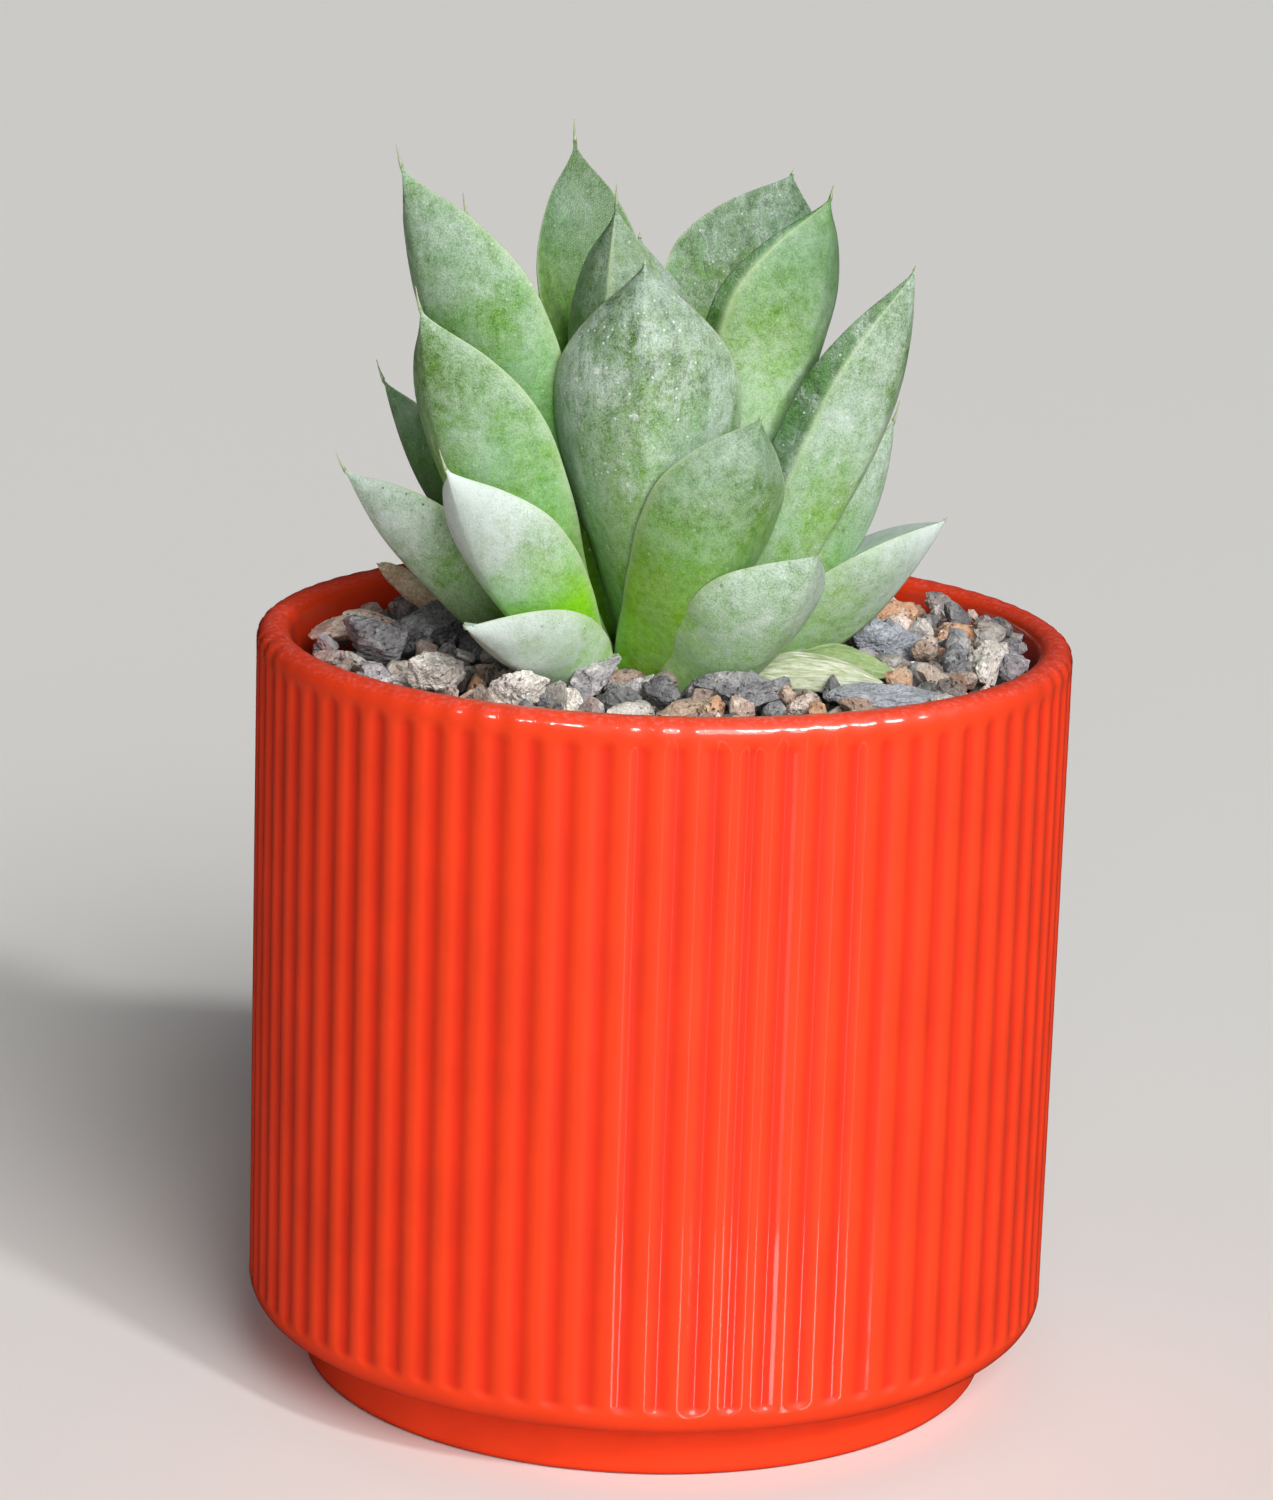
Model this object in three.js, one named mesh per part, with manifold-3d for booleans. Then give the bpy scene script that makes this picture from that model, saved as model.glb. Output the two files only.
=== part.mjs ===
// A rosette succulent in a ribbed, glazed ceramic pot, top-dressed with coarse grit.
// Millimetres, +Z up. The origin is the middle of the foot ring, on the ground, and the
// photographed side of the pot looks towards -Y.
import * as THREE from "three";
import { mergeVertices } from "three/addons/utils/BufferGeometryUtils.js";
import Module from "manifold-3d";

const wasm = await Module();
wasm.setup();

// Pot
const POT_HEIGHT = 101;
const POT_RADIUS = 54;
const POT_WALL = 4.5;
const WALL_DRAFT = 0.5;
const LIP_ROUND = 2.2;
const SHOULDER_ROUND = 2.7;
const FLOOR_ROUND = 4;
const FOOT_HEIGHT = 8;
const FOOT_RADIUS = 46.4;
const FOOT_INNER_RADIUS = 41;
const FOOT_RECESS = 3;
const FLOOR_TOP = 9;
const DRAIN_RADIUS = 6;
const RIB_COUNT = 75;
const RIB_DEPTH = 0.7;
const RIB_FOOT = 11.5;
const RIB_TOP = 97;
const RIB_FADE = 2;
const STEPS_PER_RIB = 4;

// Filling
const CLEARANCE = 0.3;
const SMALLEST_DETAIL = 0.08;
const MIX_TOP = 86;
const MIX_SIDES = 48;
const GRIT_EDGE_HEIGHT = 96.3;
const GRIT_MOUND_HEIGHT = 98;
const GRIT_PITCH = 7;
const GRIT_LIFT = 2.4;
const GRIT_CREVICE = 1.6;
const GRIT_CREVICE_WIDTH = 2.5;
const GRIT_LEAN = 0.35;
const GRIT_RING_PITCH = 3;
const GRIT_RINGS = [
  { beyond: 33, points: 96 },
  { beyond: 15, points: 48 },
  { beyond: 2, points: 24 },
];
const GRIT_UNEVEN = 0.4;
const GRIT_SEED = 11;

// Plant
const ROSETTE = new THREE.Vector3(-3, -2, 0);
const STEM_LOWEST = 76;
const STEM_TOP = 107.5;
const STEM_SIDES = 16;
const LEAF_SIDES = 8;
const LEAF_RINGS = 9;
const BRISTLE_RADIUS = 0.45;
const UP = new THREE.Vector3(0, 0, 1);

// Leaves, from the heart of the rosette outwards. tip is where the blade ends. width is
// measured at the widest place, which lies at the share "widest" of the blade. bow bends the
// blade outwards and sweep sideways, both in millimetres at its middle. roll turns the blade
// about its own length, in degrees. base is the height of its foot, and foot is how far that
// lies from the rosette's axis. shift moves the foot sideways, in millimetres. neck is the
// foot's share of the width.
const LEAVES = [
  { name: "leaf_heart_front", tip: [-8, -5, 157], base: 106, foot: 3, width: 15, roll: -40 },
  { name: "leaf_heart_right", tip: [-5, 7, 151.5], base: 105, foot: 4, width: 18, bristle: 0.8 },
  { name: "leaf_top_back", tip: [-14, 14, 163], base: 104, foot: 5, width: 17, sweep: 0.5,
    widest: 0.7 },
  { name: "leaf_heart_back", tip: [-3, 18, 144], base: 103, foot: 6, width: 18 },
  { name: "leaf_top_back_right", tip: [15, 20, 159], base: 102, foot: 4, width: 24, sweep: 1.5,
    roll: -20, widest: 0.74, bristle: 0.8 },
  { name: "leaf_top_right", tip: [19, -15, 160], base: 102, foot: 5, width: 23, bow: -1.5, roll: 10,
    widest: 0.74, bristle: 1.8 },
  { name: "leaf_top_back_left", tip: [-28, 12, 153], base: 101, foot: 6, width: 20 },
  { name: "leaf_top_left", tip: [-35, -14, 162], base: 101, foot: 6, width: 25, bow: -2, roll: -15,
    widest: 0.7 },
  { name: "leaf_high_front", tip: [-4, -23, 152], base: 100, foot: 4.5, shift: 1.8, width: 24, bow: 3.6,
    widest: 0.68, bristle: 0.8 },
  { name: "leaf_high_right", tip: [30, -14, 151], base: 99, foot: 8, width: 20.5, bow: 1, roll: 15,
    bristle: 0.8 },
  { name: "leaf_high_left", tip: [-32, -20, 145], base: 99, foot: 8, width: 23, roll: -10 },
  { name: "leaf_mid_back_left", tip: [-17, 26, 134], base: 98, foot: 8, width: 20 },
  { name: "leaf_mid_back", tip: [5, 27, 137], base: 98, foot: 8, width: 20 },
  { name: "leaf_mid_back_right", tip: [26, 15, 134], base: 98, foot: 8, width: 20 },
  { name: "leaf_mid_left", tip: [-38, 4, 132], base: 98, foot: 8, width: 18, bow: -1, roll: -20 },
  { name: "leaf_mid_right", tip: [29, 2, 129], base: 98, foot: 9, width: 18, bow: 1, roll: 15 },
  { name: "leaf_mid_front_right", tip: [11, -29, 134], base: 98, foot: 9, shift: -1.4, neck: 0.72, width: 19,
    bow: 1.2, sweep: -1.9, roll: 5, bristle: 0.8 },
  { name: "leaf_mid_front_left", tip: [-28, -27, 126], base: 96, foot: 9.5, shift: 2.4, width: 20.5, bow: -1,
    sweep: 0.2, roll: -5 },
  { name: "leaf_low_left", tip: [-42, -8, 122], base: 96, foot: 9, width: 18, bow: -1, roll: -20 },
  { name: "leaf_low_right", tip: [36, -3, 117], base: 96, foot: 9, width: 17, thick: 6.5, bow: -2, roll: 5,
    bristle: 0.8 },
  { name: "leaf_low_front_right", tip: [19, -29, 117], base: 95, foot: 12.5, shift: -3, neck: 0.55,
    width: 18.5, bow: -1, roll: 10, widest: 0.58, bristle: 0.8 },
  { name: "leaf_low_front_left", tip: [-25, -32, 107], base: 95, foot: 11, shift: 2, width: 17, bow: -3,
    roll: -15, widest: 0.55, bristle: 0.8 },
  { name: "leaf_low_back_left", tip: [-31, 22, 116], base: 96, foot: 9, width: 18, bow: -1 },
  { name: "leaf_low_back", tip: [-8, 34, 117], base: 96, foot: 9, width: 18, bow: -1 },
  { name: "leaf_low_back_right", tip: [16, 30, 118], base: 96, foot: 9, width: 18 },
];
const LEAF_DEFAULTS = { bow: 0, sweep: 0, shift: 0, roll: 0, widest: 0.66, neck: 0.45, bristle: 3.2 };
const THICKNESS_SHARE = 0.3;
const CUP = 0.18;

// Withered leaves, lying on the grit: two ends, the width, the thickness and the arch's rise.
// lean tips the strip about its length, in degrees, so that it faces forward.
const WITHERED = [
  { name: "withered_leaf_front", from: [9.5, -15, 98.6], to: [28, -20.5, 98.8], width: 6.5, thick: 1.6,
    rise: 1.2, lean: 32 },
  { name: "withered_leaf_back", from: [14.5, -10, 98.9], to: [29.5, -17, 99.5], width: 6, thick: 1.4,
    rise: 1.5, lean: 22 },
];
const WITHERED_STEPS = 8;

// Large loose stones: centre, half lengths along their own axes, turn about Z and tilt in degrees
const STONES = [
  { name: "stone_tan_splinter", at: [-32, 17, 100.3], half: [8, 1.9, 1.6], turn: 148, tilt: -26 },
  { name: "stone_slab_right", at: [29, 2, 99.4], half: [5.2, 4.2, 2.6], turn: -20, tilt: 8 },
  { name: "stone_long_slab", at: [30, -27, 98.4], half: [7.2, 3.2, 1.6], turn: 8, tilt: 3 },
  { name: "stone_orange_large", at: [31, 18, 98.6], half: [3.8, 3.4, 3.0], turn: 25, tilt: 10 },
  { name: "stone_orange_small", at: [39, 8, 98.9], half: [3.2, 2.7, 2.6], turn: 70, tilt: 0 },
  { name: "stone_tan_flat", at: [-41, 6, 98.2], half: [5.4, 3.3, 1.8], turn: 12, tilt: -6 },
  { name: "stone_dark_left", at: [-38, -3, 98.8], half: [4.4, 3.4, 2.6], turn: -15, tilt: 5 },
  { name: "stone_dark_behind", at: [-31, 6, 98.8], half: [4.6, 3.6, 3.0], turn: 30, tilt: 0 },
  { name: "stone_white_left", at: [-30, -21, 98.6], half: [4.0, 3.0, 2.7], turn: 40, tilt: 0 },
  { name: "stone_white_front", at: [-18, -27, 98.2], half: [3.6, 2.6, 2.3], turn: -10, tilt: 0 },
  { name: "stone_grey_front", at: [-9, -22, 98.8], half: [4.6, 2.3, 2.2], turn: 55, tilt: -12 },
  { name: "stone_dark_front", at: [10, -27, 98.6], half: [5.0, 2.7, 2.0], turn: -12, tilt: 0 },
  { name: "stone_white_right", at: [43, -4, 98.8], half: [3.2, 2.6, 2.4], turn: 30, tilt: 0 },
];
const STONE_COLORS = { tan: 0xb3a184, slab: 0x5c6069, long: 0x55575e, orange: 0xbc8052, dark: 0x43444b,
  white: 0xaeaca8, grey: 0x77757a };
const STONE_SEED = 5;
const STONE_ROUGHNESS = 0.14;

const TURN = Math.PI * 2;
const radians = THREE.MathUtils.degToRad;

// A seeded source of random numbers between 0 and 1 (mulberry32).
function seeded(seed) {
  let state = seed;
  return () => {
    state = (state + 0x6d2b79f5) | 0;
    let t = Math.imul(state ^ (state >>> 15), 1 | state);
    t = (t + Math.imul(t ^ (t >>> 7), 61 | t)) ^ t;
    return ((t ^ (t >>> 14)) >>> 0) / 4294967296;
  };
}

// Half a cosine from 0 to 1 while x goes from 0 to 1.
const ease = (x) => (1 - Math.cos(Math.PI * THREE.MathUtils.clamp(x, 0, 1))) / 2;

// Geometry to solid and back

function toSolid(geometry) {
  const bare = geometry.clone();
  bare.deleteAttribute("normal");
  bare.deleteAttribute("uv");
  const merged = mergeVertices(bare, 1e-4);
  const mesh = new wasm.Mesh({
    numProp: 3,
    vertProperties: new Float32Array(merged.attributes.position.array),
    triVerts: new Uint32Array(merged.index.array),
  });
  mesh.merge();
  return new wasm.Manifold(mesh);
}

function toGeometry(solid) {
  const mesh = solid.getMesh();
  const geometry = new THREE.BufferGeometry();
  geometry.setAttribute("position", new THREE.BufferAttribute(mesh.vertProperties, 3));
  geometry.setIndex(new THREE.BufferAttribute(mesh.triVerts, 1));
  geometry.computeVertexNormals();
  return geometry;
}

// The largest of a solid's separate bodies.
function largest(solid) {
  return solid.decompose().sort((a, b) => b.volume() - a.volume())[0];
}

// A closed skin through rings of points. Each ring is a list of points, counter-clockwise seen
// from the last ring. Neighbouring rings have the same count, or one has a multiple of the
// other's. The two ends are closed by a point, or the last ring joins the first.
function skin(rings, { loop = false } = {}) {
  const points = [];
  const faces = [];
  const starts = rings.map((ring) => {
    const start = points.length;
    points.push(...ring);
    return start;
  });
  const joins = loop ? rings.length : rings.length - 1;
  for (let i = 0; i < joins; i++) {
    const j = (i + 1) % rings.length;
    joinRings(faces, starts[i], rings[i].length, starts[j], rings[j].length);
  }
  if (!loop) {
    closeRing(points, faces, starts[0], rings[0], true);
    closeRing(points, faces, starts.at(-1), rings.at(-1), false);
  }
  const positions = points.flatMap((p) => p.toArray());
  const geometry = new THREE.BufferGeometry();
  geometry.setAttribute("position", new THREE.Float32BufferAttribute(positions, 3));
  geometry.setIndex(faces);
  geometry.computeVertexNormals();
  return geometry;
}

function joinRings(faces, lower, lowerCount, upper, upperCount) {
  const count = Math.max(lowerCount, upperCount);
  const lowerStep = count / lowerCount;
  const upperStep = count / upperCount;
  const at = (start, n, step, k) => start + (Math.floor((k + (step >> 1)) / step) % n);
  for (let k = 0; k < count; k++) {
    const a = at(lower, lowerCount, lowerStep, k);
    const b = at(lower, lowerCount, lowerStep, k + 1);
    const c = at(upper, upperCount, upperStep, k + 1);
    const d = at(upper, upperCount, upperStep, k);
    if (a !== b) faces.push(a, b, c);
    if (c !== d) faces.push(a, c, d);
  }
}

function closeRing(points, faces, start, ring, isFirst) {
  if (ring.length === 1) return;
  const middle = new THREE.Vector3();
  ring.forEach((p) => middle.addScaledVector(p, 1 / ring.length));
  const centre = points.push(middle) - 1;
  for (let k = 0; k < ring.length; k++) {
    const a = start + k;
    const b = start + ((k + 1) % ring.length);
    if (isFirst) faces.push(centre, b, a);
    else faces.push(centre, a, b);
  }
}

// A solid of revolution whose profile starts and ends on the axis.
function turned(profile, segments) {
  const points = profile.map(([r, z]) => new THREE.Vector2(r, z));
  return new THREE.LatheGeometry(points, segments).rotateX(Math.PI / 2);
}

// Pot

// The groove's depth at a place round the pot and up it: wide convex ribs with narrow valleys
// between them, which fade out at both ends.
function grooveDepth(angle, z) {
  const phase = (angle * RIB_COUNT) / TURN;
  const crest = Math.abs(Math.cos(Math.PI * phase));
  const fade = Math.min(ease((z - RIB_FOOT) / RIB_FADE), ease((RIB_TOP - z) / RIB_FADE));
  return RIB_DEPTH * (1 - crest) * fade;
}

function potRing(radius, z, count) {
  const first = -TURN / 4;
  return Array.from({ length: count }, (_, k) => {
    const angle = (k / count) * TURN;
    const r = radius - (count > RIB_COUNT ? grooveDepth(angle, z) : 0);
    return new THREE.Vector3(r * Math.cos(first + angle), r * Math.sin(first + angle), z);
  });
}

function potGeometry() {
  const inner = POT_RADIUS - POT_WALL;
  const crown = POT_RADIUS - LIP_ROUND * 0.85;
  const fine = RIB_COUNT * STEPS_PER_RIB;
  const profile = [
    [DRAIN_RADIUS, FOOT_RECESS],
    [FOOT_INNER_RADIUS - 1, FOOT_RECESS],
    [FOOT_INNER_RADIUS, 0],
    [FOOT_RADIUS - 1, 0],
    [FOOT_RADIUS, 1.5],
    [FOOT_RADIUS, FOOT_HEIGHT],
    [POT_RADIUS - SHOULDER_ROUND, FOOT_HEIGHT + 0.1],
    [POT_RADIUS - 0.8, FOOT_HEIGHT + 1.4],
    [POT_RADIUS, RIB_FOOT, fine],
    [POT_RADIUS, RIB_FOOT + RIB_FADE, fine],
    [POT_RADIUS, RIB_TOP - RIB_FADE, fine],
    [POT_RADIUS, RIB_TOP, fine],
    [POT_RADIUS, POT_HEIGHT - 1.6],
    [POT_RADIUS - 0.6, POT_HEIGHT - 0.5],
    [crown, POT_HEIGHT],
    [inner + 1, POT_HEIGHT - 0.6],
    [inner, POT_HEIGHT - LIP_ROUND],
    [inner - WALL_DRAFT, FLOOR_TOP + FLOOR_ROUND],
    [inner - FLOOR_ROUND, FLOOR_TOP],
    [DRAIN_RADIUS, FLOOR_TOP],
  ];
  return skin(profile.map(([r, z, count = RIB_COUNT]) => potRing(r, z, count)), { loop: true });
}

// Plant

// The stem's outline, swollen where the leaves grow from it. grow widens it on every side.
function stemGeometry(grow = 0) {
  const profile = [
    [0, STEM_LOWEST - grow],
    [4.5 + grow, STEM_LOWEST - grow],
    [5 + grow, 90],
    [7.5 + grow, 93.5 - grow],
    [9.6 + grow, 96 - grow],
    [9.4 + grow, 98.6],
    [6.9 + grow, 101],
    [5.6 + grow, 103.2],
    [3.6 + grow, 105.6 + grow],
    [0, STEM_TOP + grow],
  ];
  return turned(profile, STEM_SIDES).translate(ROSETTE.x, ROSETTE.y, 0);
}

// Half the blade's width at the share s of its length: a neck that swells to the widest place,
// then a rounded shoulder that runs to the tip.
function halfWidth(leaf, s) {
  const half = leaf.width / 2;
  if (s < leaf.widest) return half * (leaf.neck + (1 - leaf.neck) * ease(s / leaf.widest));
  return half * Math.cos((Math.PI / 2) * ((s - leaf.widest) / (1 - leaf.widest))) ** 0.95;
}

// The depth of the blade's rounded back: fullest at two fifths of its length.
function backDepth(leaf, s) {
  const depth = leaf.thick ?? leaf.width * THICKNESS_SHARE;
  if (s < 0.4) return depth * (0.75 + 0.25 * Math.sin((Math.PI / 2) * (s / 0.4)));
  return depth * Math.cos((Math.PI / 2) * ((s - 0.4) / 0.6) ** 1.25) ** 0.85;
}

// One ring of the blade: a nearly flat, slightly hollow upper face and a keeled, rounded back.
function bladeRing(frame, half, depth) {
  return Array.from({ length: LEAF_SIDES }, (_, k) => {
    const angle = (k / LEAF_SIDES) * TURN;
    const across = Math.cos(angle);
    const round = Math.sin(angle);
    const keel = 0.12 * (1 - Math.abs(across)) ** 3;
    const lens = round < 0 ? Math.abs(round) ** 1.5 + keel : -0.1 * round ** 2;
    return frame.centre
      .clone()
      .addScaledVector(frame.side, half * across)
      .addScaledVector(frame.back, depth * lens - CUP * half * across ** 2);
  });
}

// The leaf's spine is a quadratic curve from its foot to its tip, and every ring stands square
// on it. The bristle goes on from the tip and turns upwards.
function leafGeometry(row, grow = 0) {
  const leaf = { ...LEAF_DEFAULTS, ...row };
  const tip = new THREE.Vector3(...leaf.tip);
  const out = new THREE.Vector3(tip.x - ROSETTE.x, tip.y - ROSETTE.y, 0).normalize();
  const across = new THREE.Vector3().crossVectors(UP, out);
  const foot = new THREE.Vector3(ROSETTE.x, ROSETTE.y, leaf.base)
    .addScaledVector(out, leaf.foot)
    .addScaledVector(across, leaf.shift);
  const chord = tip.clone().sub(foot);
  const outward = new THREE.Vector3().crossVectors(across, chord).normalize();
  const control = foot
    .clone()
    .add(tip)
    .multiplyScalar(0.5)
    .addScaledVector(outward, 2 * leaf.bow)
    .addScaledVector(across, 2 * leaf.sweep);
  const spine = new THREE.QuadraticBezierCurve3(foot, control, tip);
  const rings = [];
  for (let i = 0; i <= LEAF_RINGS; i++) {
    const s = i / LEAF_RINGS;
    const along = spine.getTangent(s);
    const back = new THREE.Vector3().crossVectors(across, along).normalize();
    const side = new THREE.Vector3().crossVectors(along, back);
    const roll = radians(leaf.roll) * Math.min(1, 0.35 + s);
    side.applyAxisAngle(along, -roll);
    back.applyAxisAngle(along, -roll);
    const half = Math.max(halfWidth(leaf, s), BRISTLE_RADIUS) + grow;
    const depth = Math.max(backDepth(leaf, s), BRISTLE_RADIUS) + grow;
    const centre = spine.getPoint(s).addScaledVector(back, -grow * (depth > 1.5 ? 1 : 0.4));
    rings.push(bladeRing({ centre, side, back }, half, depth + grow));
  }
  const along = spine.getTangent(1);
  const end = tip
    .clone()
    .addScaledVector(along, leaf.bristle / 2 + grow)
    .addScaledVector(UP, leaf.bristle / 2);
  rings.push([end]);
  return skin(rings);
}

// A shrivelled leaf: a thin arched strip, pointed at both ends.
function witheredGeometry({ from, to, width, thick, rise, lean }, grow = 0) {
  const start = new THREE.Vector3(...from);
  const end = new THREE.Vector3(...to);
  const along = end.clone().sub(start).normalize();
  const side = new THREE.Vector3().crossVectors(UP, along).applyAxisAngle(along, radians(lean)).normalize();
  const face = new THREE.Vector3().crossVectors(along, side);
  const rings = [];
  for (let i = 0; i <= WITHERED_STEPS; i++) {
    const s = i / WITHERED_STEPS;
    const swell = Math.sin(Math.PI * (0.08 + 0.84 * s));
    const centre = start.clone().lerp(end, s).addScaledVector(UP, rise * Math.sin(Math.PI * s));
    const ring = [];
    for (let k = 0; k < LEAF_SIDES; k++) {
      const angle = (k / LEAF_SIDES) * TURN;
      const x = Math.cos(angle) * ((width / 2) * swell + grow);
      const droop = 0.5 * rise * Math.cos(angle) ** 2 * swell;
      const z = Math.sin(angle) * ((thick / 2) * (0.5 + 0.5 * swell) + grow) - droop;
      ring.push(centre.clone().addScaledVector(side, x).addScaledVector(face, z));
    }
    rings.push(ring);
  }
  return skin(rings);
}

// Stones

// A broken stone: a simple shape whose corners are pushed in and out, then squashed.
function stoneGeometry(shape, half, random, roughness) {
  shape.deleteAttribute("normal");
  shape.deleteAttribute("uv");
  const stone = mergeVertices(shape, 1e-4);
  const position = stone.attributes.position;
  for (let i = 0; i < position.count; i++) {
    const push = 1 + roughness * (2 * random() - 1);
    position.setXYZ(i, position.getX(i) * push, position.getY(i) * push, position.getZ(i) * push);
  }
  return stone.scale(...half);
}

function looseStoneGeometry(row, index, grow = 0) {
  const random = seeded(STONE_SEED + index);
  const half = row.half.map((h) => h + grow * 1.4);
  return stoneGeometry(new THREE.IcosahedronGeometry(1.1, 0), half, random, STONE_ROUGHNESS)
    .rotateY(radians(row.tilt))
    .rotateZ(radians(row.turn))
    .translate(...row.at);
}

// How high the grit lies at a distance from the pot's middle.
const gritHeight = (r) => THREE.MathUtils.lerp(GRIT_MOUND_HEIGHT, GRIT_EDGE_HEIGHT, ease(r / 46));

// The grit's stones: a jittered honeycomb of places, each with its own lift and lean.
function gritStones() {
  const random = seeded(GRIT_SEED);
  const rowPitch = GRIT_PITCH * Math.sqrt(0.75);
  const rows = Math.ceil(POT_RADIUS / rowPitch);
  const stones = [];
  for (let row = -rows; row <= rows; row++) {
    for (let column = -rows; column <= rows; column++) {
      const x = (column + (row & 1) / 2 + 0.5 * (random() - 0.5)) * GRIT_PITCH;
      const y = (row + 0.5 * (random() - 0.5)) * rowPitch;
      const lift = GRIT_LIFT * (random() - 0.5);
      const lean = [GRIT_LEAN * (2 * random() - 1), GRIT_LEAN * (2 * random() - 1)];
      stones.push({ x, y, lift, lean });
    }
  }
  return stones;
}

// The top of the grit at a place: the leaning face of the nearest stone, which drops towards
// the crevice where the next nearest begins.
function gritTop(stones, x, y) {
  const near = stones
    .map((stone) => ({ stone, distance: Math.hypot(x - stone.x, y - stone.y) }))
    .sort((a, b) => a.distance - b.distance);
  const [{ stone, distance }, next] = near;
  const slope = stone.lean[0] * (x - stone.x) + stone.lean[1] * (y - stone.y);
  const crevice = 1 - Math.min(1, (next.distance - distance) / GRIT_CREVICE_WIDTH);
  return gritHeight(Math.hypot(x, y)) + stone.lift + slope - GRIT_CREVICE * crevice;
}

// The bed of grit: one body that fills the pot's mouth, its top raised into stones.
function gritGeometry() {
  const stones = gritStones();
  const random = seeded(GRIT_SEED + 1);
  const radius = POT_RADIUS - POT_WALL - WALL_DRAFT - CLEARANCE;
  const outer = GRIT_RINGS[0].points;
  const circle = (z) =>
    Array.from({ length: outer }, (_, k) => {
      const angle = (k / outer) * TURN;
      return new THREE.Vector3(radius * Math.cos(angle), radius * Math.sin(angle), z);
    });
  const rings = [circle(MIX_TOP + CLEARANCE), circle(GRIT_EDGE_HEIGHT - 1)];
  for (let r = radius - GRIT_RING_PITCH; r > GRIT_RINGS.at(-1).beyond; r -= GRIT_RING_PITCH) {
    const count = GRIT_RINGS.find(({ beyond }) => r > beyond).points;
    const ring = [];
    for (let k = 0; k < count; k++) {
      const angle = ((k + GRIT_UNEVEN * (random() - 0.5)) / count) * TURN;
      const reach = r + GRIT_UNEVEN * GRIT_RING_PITCH * (random() - 0.5);
      const x = reach * Math.cos(angle);
      const y = reach * Math.sin(angle);
      ring.push(new THREE.Vector3(x, y, gritTop(stones, x, y)));
    }
    rings.push(ring);
  }
  return skin(rings);
}

// Assembly

const group = new THREE.Group();

function addPart(name, geometry, color, roughness, metalness = 0) {
  const part = new THREE.Mesh(geometry, new THREE.MeshStandardMaterial({ color, roughness, metalness }));
  part.name = name;
  group.add(part);
}

addPart("pot", potGeometry(), 0xe8452c, 0.15);

const stemSpace = toSolid(stemGeometry(CLEARANCE));
addPart("stem", stemGeometry(), 0x8f8b62, 0.8);

const mixRadius = POT_RADIUS - POT_WALL - CLEARANCE;
const mixProfile = [
  [0, FLOOR_TOP + CLEARANCE],
  [mixRadius - FLOOR_ROUND, FLOOR_TOP + CLEARANCE],
  [mixRadius - WALL_DRAFT, FLOOR_TOP + FLOOR_ROUND],
  [mixRadius - WALL_DRAFT, MIX_TOP],
  [0, MIX_TOP],
];
const mix = toSolid(turned(mixProfile, MIX_SIDES)).subtract(stemSpace);
addPart("potting_mix", toGeometry(mix), 0x3b2a20, 0.95);

// Each blade gives way to the stem and to the blades further in.
const taken = [stemSpace];
for (const leaf of LEAVES) {
  let blade = toSolid(leafGeometry(leaf));
  for (const space of taken) blade = blade.subtract(space);
  blade = largest(blade).simplify(SMALLEST_DETAIL);
  addPart(leaf.name, toGeometry(blade), 0x8fb07c, 0.55);
  taken.push(toSolid(leafGeometry(leaf, CLEARANCE)));
}

for (const row of WITHERED) {
  let strip = toSolid(witheredGeometry(row));
  for (const space of taken) strip = strip.subtract(space);
  addPart(row.name, toGeometry(largest(strip).simplify(SMALLEST_DETAIL)), 0xc9cf94, 0.8);
  taken.push(toSolid(witheredGeometry(row, CLEARANCE)));
}

STONES.forEach((row, index) => {
  let stone = toSolid(looseStoneGeometry(row, index));
  for (const space of taken) stone = stone.subtract(space);
  const color = STONE_COLORS[row.name.split("_")[1]];
  addPart(row.name, toGeometry(largest(stone).simplify(SMALLEST_DETAIL)), color, 0.85);
  taken.push(toSolid(looseStoneGeometry(row, index, CLEARANCE)));
});

let grit = toSolid(gritGeometry());
for (const space of taken) grit = grit.subtract(space);
addPart("gravel_bed", toGeometry(largest(grit).simplify(SMALLEST_DETAIL)), 0x76747a, 0.9);

export default group;
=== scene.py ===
# %% [markdown]
# # A rosette succulent in a ribbed, glazed pot
#
# The real object is a young haworthia with thick, keeled, bristle-tipped leaves. It grows in a
# small red pot that was cast in one piece, glazed and fired, and the mix is dressed with coarse
# grit. This lesson builds its visible skin over the CAD frame: every piece is worked out with
# numpy in millimetres, in the frame's own axes, and turned to metres when its mesh is made.

import bpy
import numpy as np
from mathutils import Matrix, Vector


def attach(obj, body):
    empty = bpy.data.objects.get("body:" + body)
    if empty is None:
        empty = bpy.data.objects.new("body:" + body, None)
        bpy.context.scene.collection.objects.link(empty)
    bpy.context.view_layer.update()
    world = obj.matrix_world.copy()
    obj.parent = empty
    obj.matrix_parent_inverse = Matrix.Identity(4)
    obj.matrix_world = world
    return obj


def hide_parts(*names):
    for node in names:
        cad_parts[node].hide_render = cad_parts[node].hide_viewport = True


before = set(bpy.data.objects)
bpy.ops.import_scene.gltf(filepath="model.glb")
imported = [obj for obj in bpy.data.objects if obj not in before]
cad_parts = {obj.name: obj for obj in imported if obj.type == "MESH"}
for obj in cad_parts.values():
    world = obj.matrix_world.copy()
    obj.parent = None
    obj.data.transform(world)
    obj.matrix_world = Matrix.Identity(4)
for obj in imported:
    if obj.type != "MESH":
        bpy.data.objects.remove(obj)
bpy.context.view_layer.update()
TURN = 2 * np.pi
UP = np.array([0.0, 0.0, 1.0])
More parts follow.
